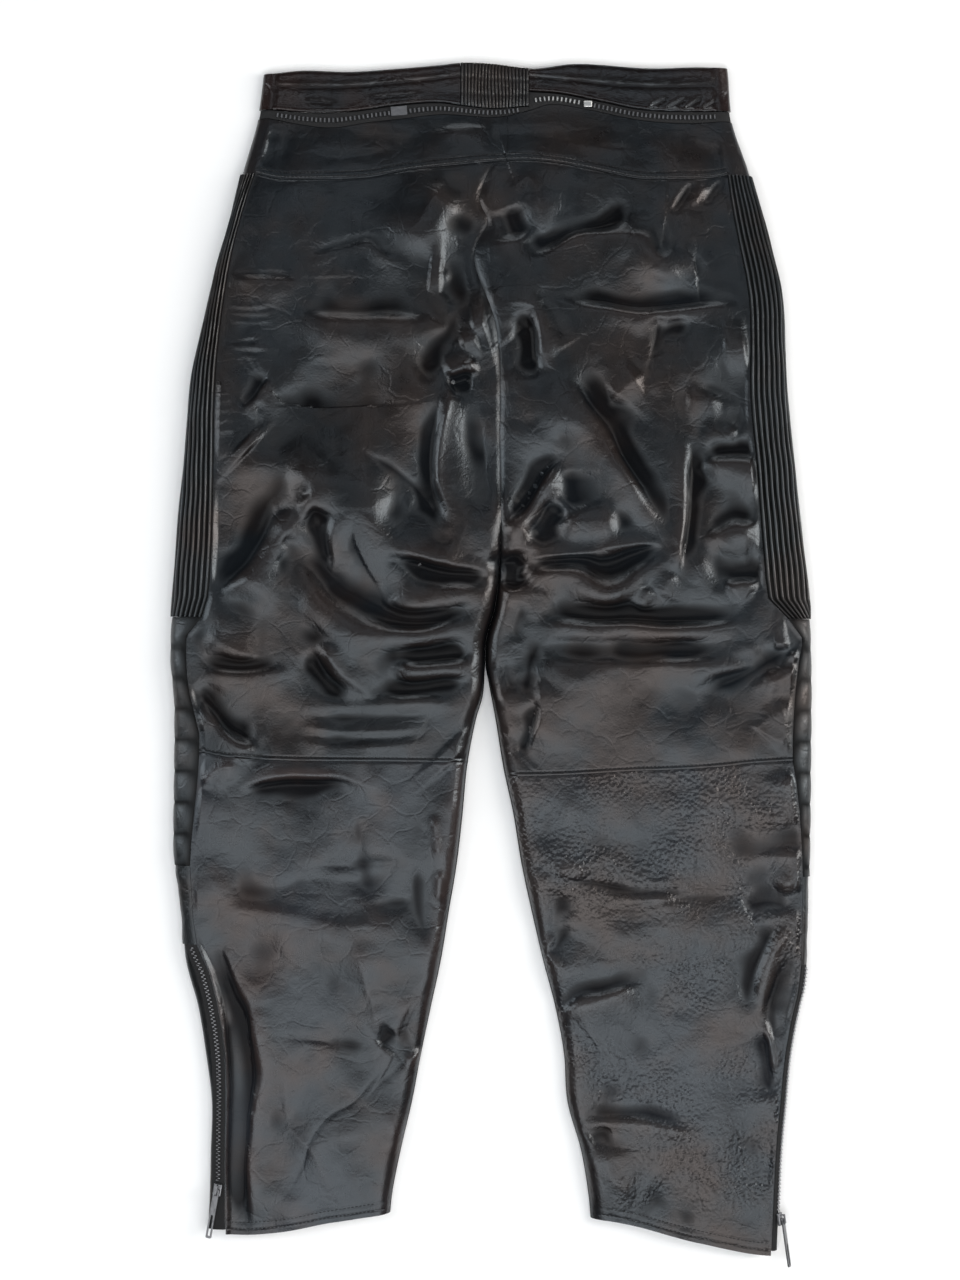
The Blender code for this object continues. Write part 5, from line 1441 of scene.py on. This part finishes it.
# Windows at the sides and beyond the waist, in metres. Columns: name, place, aim, size, watts, colour
WINDOWS = (
    ("window_left", (-2.3, 0.3, 1.5), (0, 0, 0), (1.0, 2.4), 32, (0.93, 0.97, 1.0)),
    ("window_right", (2.3, 0.3, 1.5), (0, 0, 0), (0.8, 2.4), 60, (1.0, 0.98, 0.95)),
    ("window_waist", (0.2, 2.6, 1.3), (0, 0, 0), (2.4, 0.8), 16, (1, 1, 1)),
    ("strip_waist", (0.0, 1.25, 3.0), (0.0, 1.25, 0), (1.8, 0.4), 3.6, (0.88, 0.94, 1.0)),
)

CAMERA_HEIGHT = 2.4
CAMERA_FOCUS = 0.015  # height at which the photograph's scale is met


def lamp(name, place, target, size, power, colour):
    data = bpy.data.lights.new(name, "AREA")
    data.shape = "RECTANGLE"
    data.size, data.size_y = size
    data.energy = power
    data.color = colour
    made = bpy.data.objects.new(name, data)
    made.location = place
    look = bpy.data.objects.new(f"{name}_aim", None)
    look.location = target
    bpy.context.scene.collection.objects.link(made)
    bpy.context.scene.collection.objects.link(look)
    aim = made.constraints.new("TRACK_TO")
    aim.target = look
    aim.track_axis = "TRACK_NEGATIVE_Z"
    aim.up_axis = "UP_Y"
    made.visible_camera = False


def light():
    """The soft box with its tubes over the legs, and the windows."""
    world = bpy.data.worlds.new("studio")
    world.use_nodes = True
    sky = world.node_tree.nodes["Background"].inputs
    sky["Color"].default_value = (0.95, 0.97, 1.0, 1)
    sky["Strength"].default_value = 0.012
    bpy.context.scene.world = world
    panels = (("softbox", SOFTBOX_COLUMNS, SOFTBOX_ROWS), ("tube", TUBE_COLUMNS, TUBE_ROWS))
    for name, columns, rows in panels:
        for row, (far_y, near_y, strength) in enumerate(rows):
            for column, (left_x, right_x) in enumerate(columns):
                size = (right_x - left_x, near_y - far_y)
                place = ((left_x + right_x) / 2, (far_y + near_y) / 2, SOFTBOX_HEIGHT)
                power = strength * math.pi * size[0] * size[1]
                lamp(f"{name}_{row}_{column}", place, (*place[:2], 0), size, power, (0.97, 0.985, 1.0))
    for window in WINDOWS:
        lamp(*window)
    bpy.context.scene.view_settings.view_transform = "Standard"


def camera():
    """Straight above, with the photograph's frame."""
    width, height = PHOTO_SIZE
    centre_x = (width / 2 - PHOTO_ORIGIN[0]) * PIXEL * MM
    centre_y = (PHOTO_ORIGIN[1] - height / 2) * PIXEL * MM
    data = bpy.data.cameras.new("camera")
    data.sensor_fit = "VERTICAL"
    data.sensor_height = 24
    data.lens = data.sensor_height * (CAMERA_HEIGHT - CAMERA_FOCUS) / (height * PIXEL * MM)
    made = bpy.data.objects.new("camera", data)
    made.location = (centre_x, centre_y, CAMERA_HEIGHT)
    bpy.context.scene.collection.objects.link(made)
    bpy.context.scene.camera = made


def finish_kept_nodes():
    """Sliders and pulls keep the solids' shape, with a better metal."""
    for name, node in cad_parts.items():
        slot = "bright_metal" if name == "connection_slider" else "zip_metal"
        if "slider" in name or "pull" in name:
            for place in node.material_slots:
                place.material = MATERIALS[slot]


def main():
    camera()
    floor()
    light()
    backs()
    sides()
    shirring()
    connection_zip()
    calf_teeth()
    sewing()
    front()
    finish_kept_nodes()


main()
